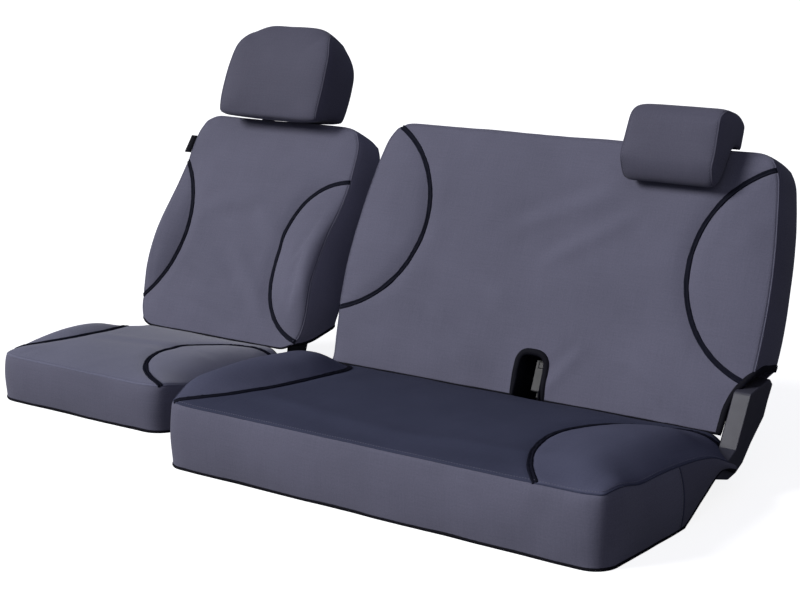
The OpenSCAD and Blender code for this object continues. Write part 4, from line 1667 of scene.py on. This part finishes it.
BENCH_BACK_FOLDS = (
    Fold((0.10, 0.40), (-0.06, 0.33), 0.0032, 0.020), Fold((0.16, 0.36), (0.02, 0.27), 0.0027, 0.018),
    Fold((-0.10, 0.20), (0.02, 0.10), 0.0030, 0.022), Fold((-0.22, 0.14), (-0.12, 0.05), 0.0027, 0.018),
    Fold((0.24, 0.10), (0.34, 0.03), 0.0028, 0.016), Fold((0.12, 0.10), (0.06, 0.02), 0.0022, 0.014),
)
BENCH_SEAT_FOLDS = (
    Fold((-0.30, 0.10), (0.05, 0.06), 0.0020, 0.022), Fold((0.02, 0.07), (0.28, 0.10), 0.0018, 0.020),
)
BUCKET_BACK_FOLDS = (
    Fold((-0.12, 0.30), (0.02, 0.33), 0.0030, 0.022), Fold((0.02, 0.30), (0.13, 0.24), 0.0028, 0.020),
    Fold((-0.14, 0.20), (-0.02, 0.15), 0.0026, 0.018), Fold((0.00, 0.20), (0.10, 0.10), 0.0030, 0.020),
    Fold((-0.10, 0.10), (0.06, 0.06), 0.0024, 0.018), Fold((-0.13, 0.42), (0.10, 0.40), 0.0022, 0.024),
)
BUCKET_SEAT_FOLDS = (
    Fold((-0.12, 0.20), (0.08, 0.24), 0.0018, 0.020),
)


def main() -> None:
    """Builds the bench, the bucket seat and the studio."""
    logging.basicConfig(level=logging.INFO, format="%(message)s")
    # The bench seat's centre panel is navy with painted shade; its corner panels are the plain navy.
    bench_seat = Cushion("bench", 0.940, 0.499, 0.128, 0.097, 0.100, (0.030, 0.014),
                         either(Oval(-0.515, 0.255, 0.205, 0.255), Oval(0.500, 0.215, 0.250, 0.275)),
                         (0.265, 0.446), 0.255, 0.250, NAVY_CANVAS_PAINTED_SHADE, CANVAS_CORNER, 0.042,
                         BENCH_SEAT_FOLDS)
    bench_seat.build()
    bench_back = BenchBackrest("bench", 0.522, 0.092, (0.455, 0.475, 0.431), 0.190, 0.050, 0.006, 0.006,
                               either(Oval(-0.527, 0.323, 0.233, 0.214), Oval(0.511, 0.297, 0.208, 0.207)),
                               "bench_headrest_height", "corner_panels", BENCH_BACK_FOLDS)
    bench_back.build()
    BucklePocket(bench_back.place(), bench_back.slot).build()
    Headrest("bench", bench_back.place(), 0.242,
             lambda v: np.interp(v, [0.43, 0.48, 0.59], [0.094, 0.100, 0.094]),
             bench_headrest_side, (0.430, 0.589), 0.012, CANVAS_HEAD, (22, 16, 14), 5).build()
    bucket_seat = Cushion("bucket", 0.478, 0.415, 0.100, 0.086, 0.070, (0.018, 0.004),
                          either(Oval(-0.365, 0.215, 0.210, 0.215), Oval(0.285, 0.210, 0.215, 0.200)),
                          (0.225, 0.372), 0.158, 0.210, CANVAS_SEAT, CANVAS_SEAT, 0.050,
                          BUCKET_SEAT_FOLDS)
    bucket_seat.build()
    # The bucket back's gusset band takes the side canvas copy with painted light.
    bucket_back = Backrest("bucket", 0.522, 0.092, (0.228, 0.254, 0.237), 0.130, 0.058, 0.056, 0.004,
                           either(Oval(-0.362, 0.235, 0.190, 0.214), Oval(0.295, 0.205, 0.182, 0.190, 2.5)),
                           "bucket_headrest_height", "bolsters", BUCKET_BACK_FOLDS, 0.045, 0.110, 0.6,
                           BAND_CANVAS_PAINTED_LIGHT, cell=0.010)
    bucket_back.build()
    LabelTag(bucket_back.place()).build()
    Headrest("bucket", bucket_back.place(), 0.0,
             lambda v: np.interp(v, [0.50, 0.58, 0.66, 0.732], [0.149, 0.152, 0.146, 0.131]),
             bucket_headrest_side, (0.529, 0.732), 0.078, CANVAS_HEAD, (28, 20, 12), 10).build()
    for part in hard_parts():
        part.dress()
    Studio(bench_seat.place()).build()


if __name__ == "__main__":
    main()
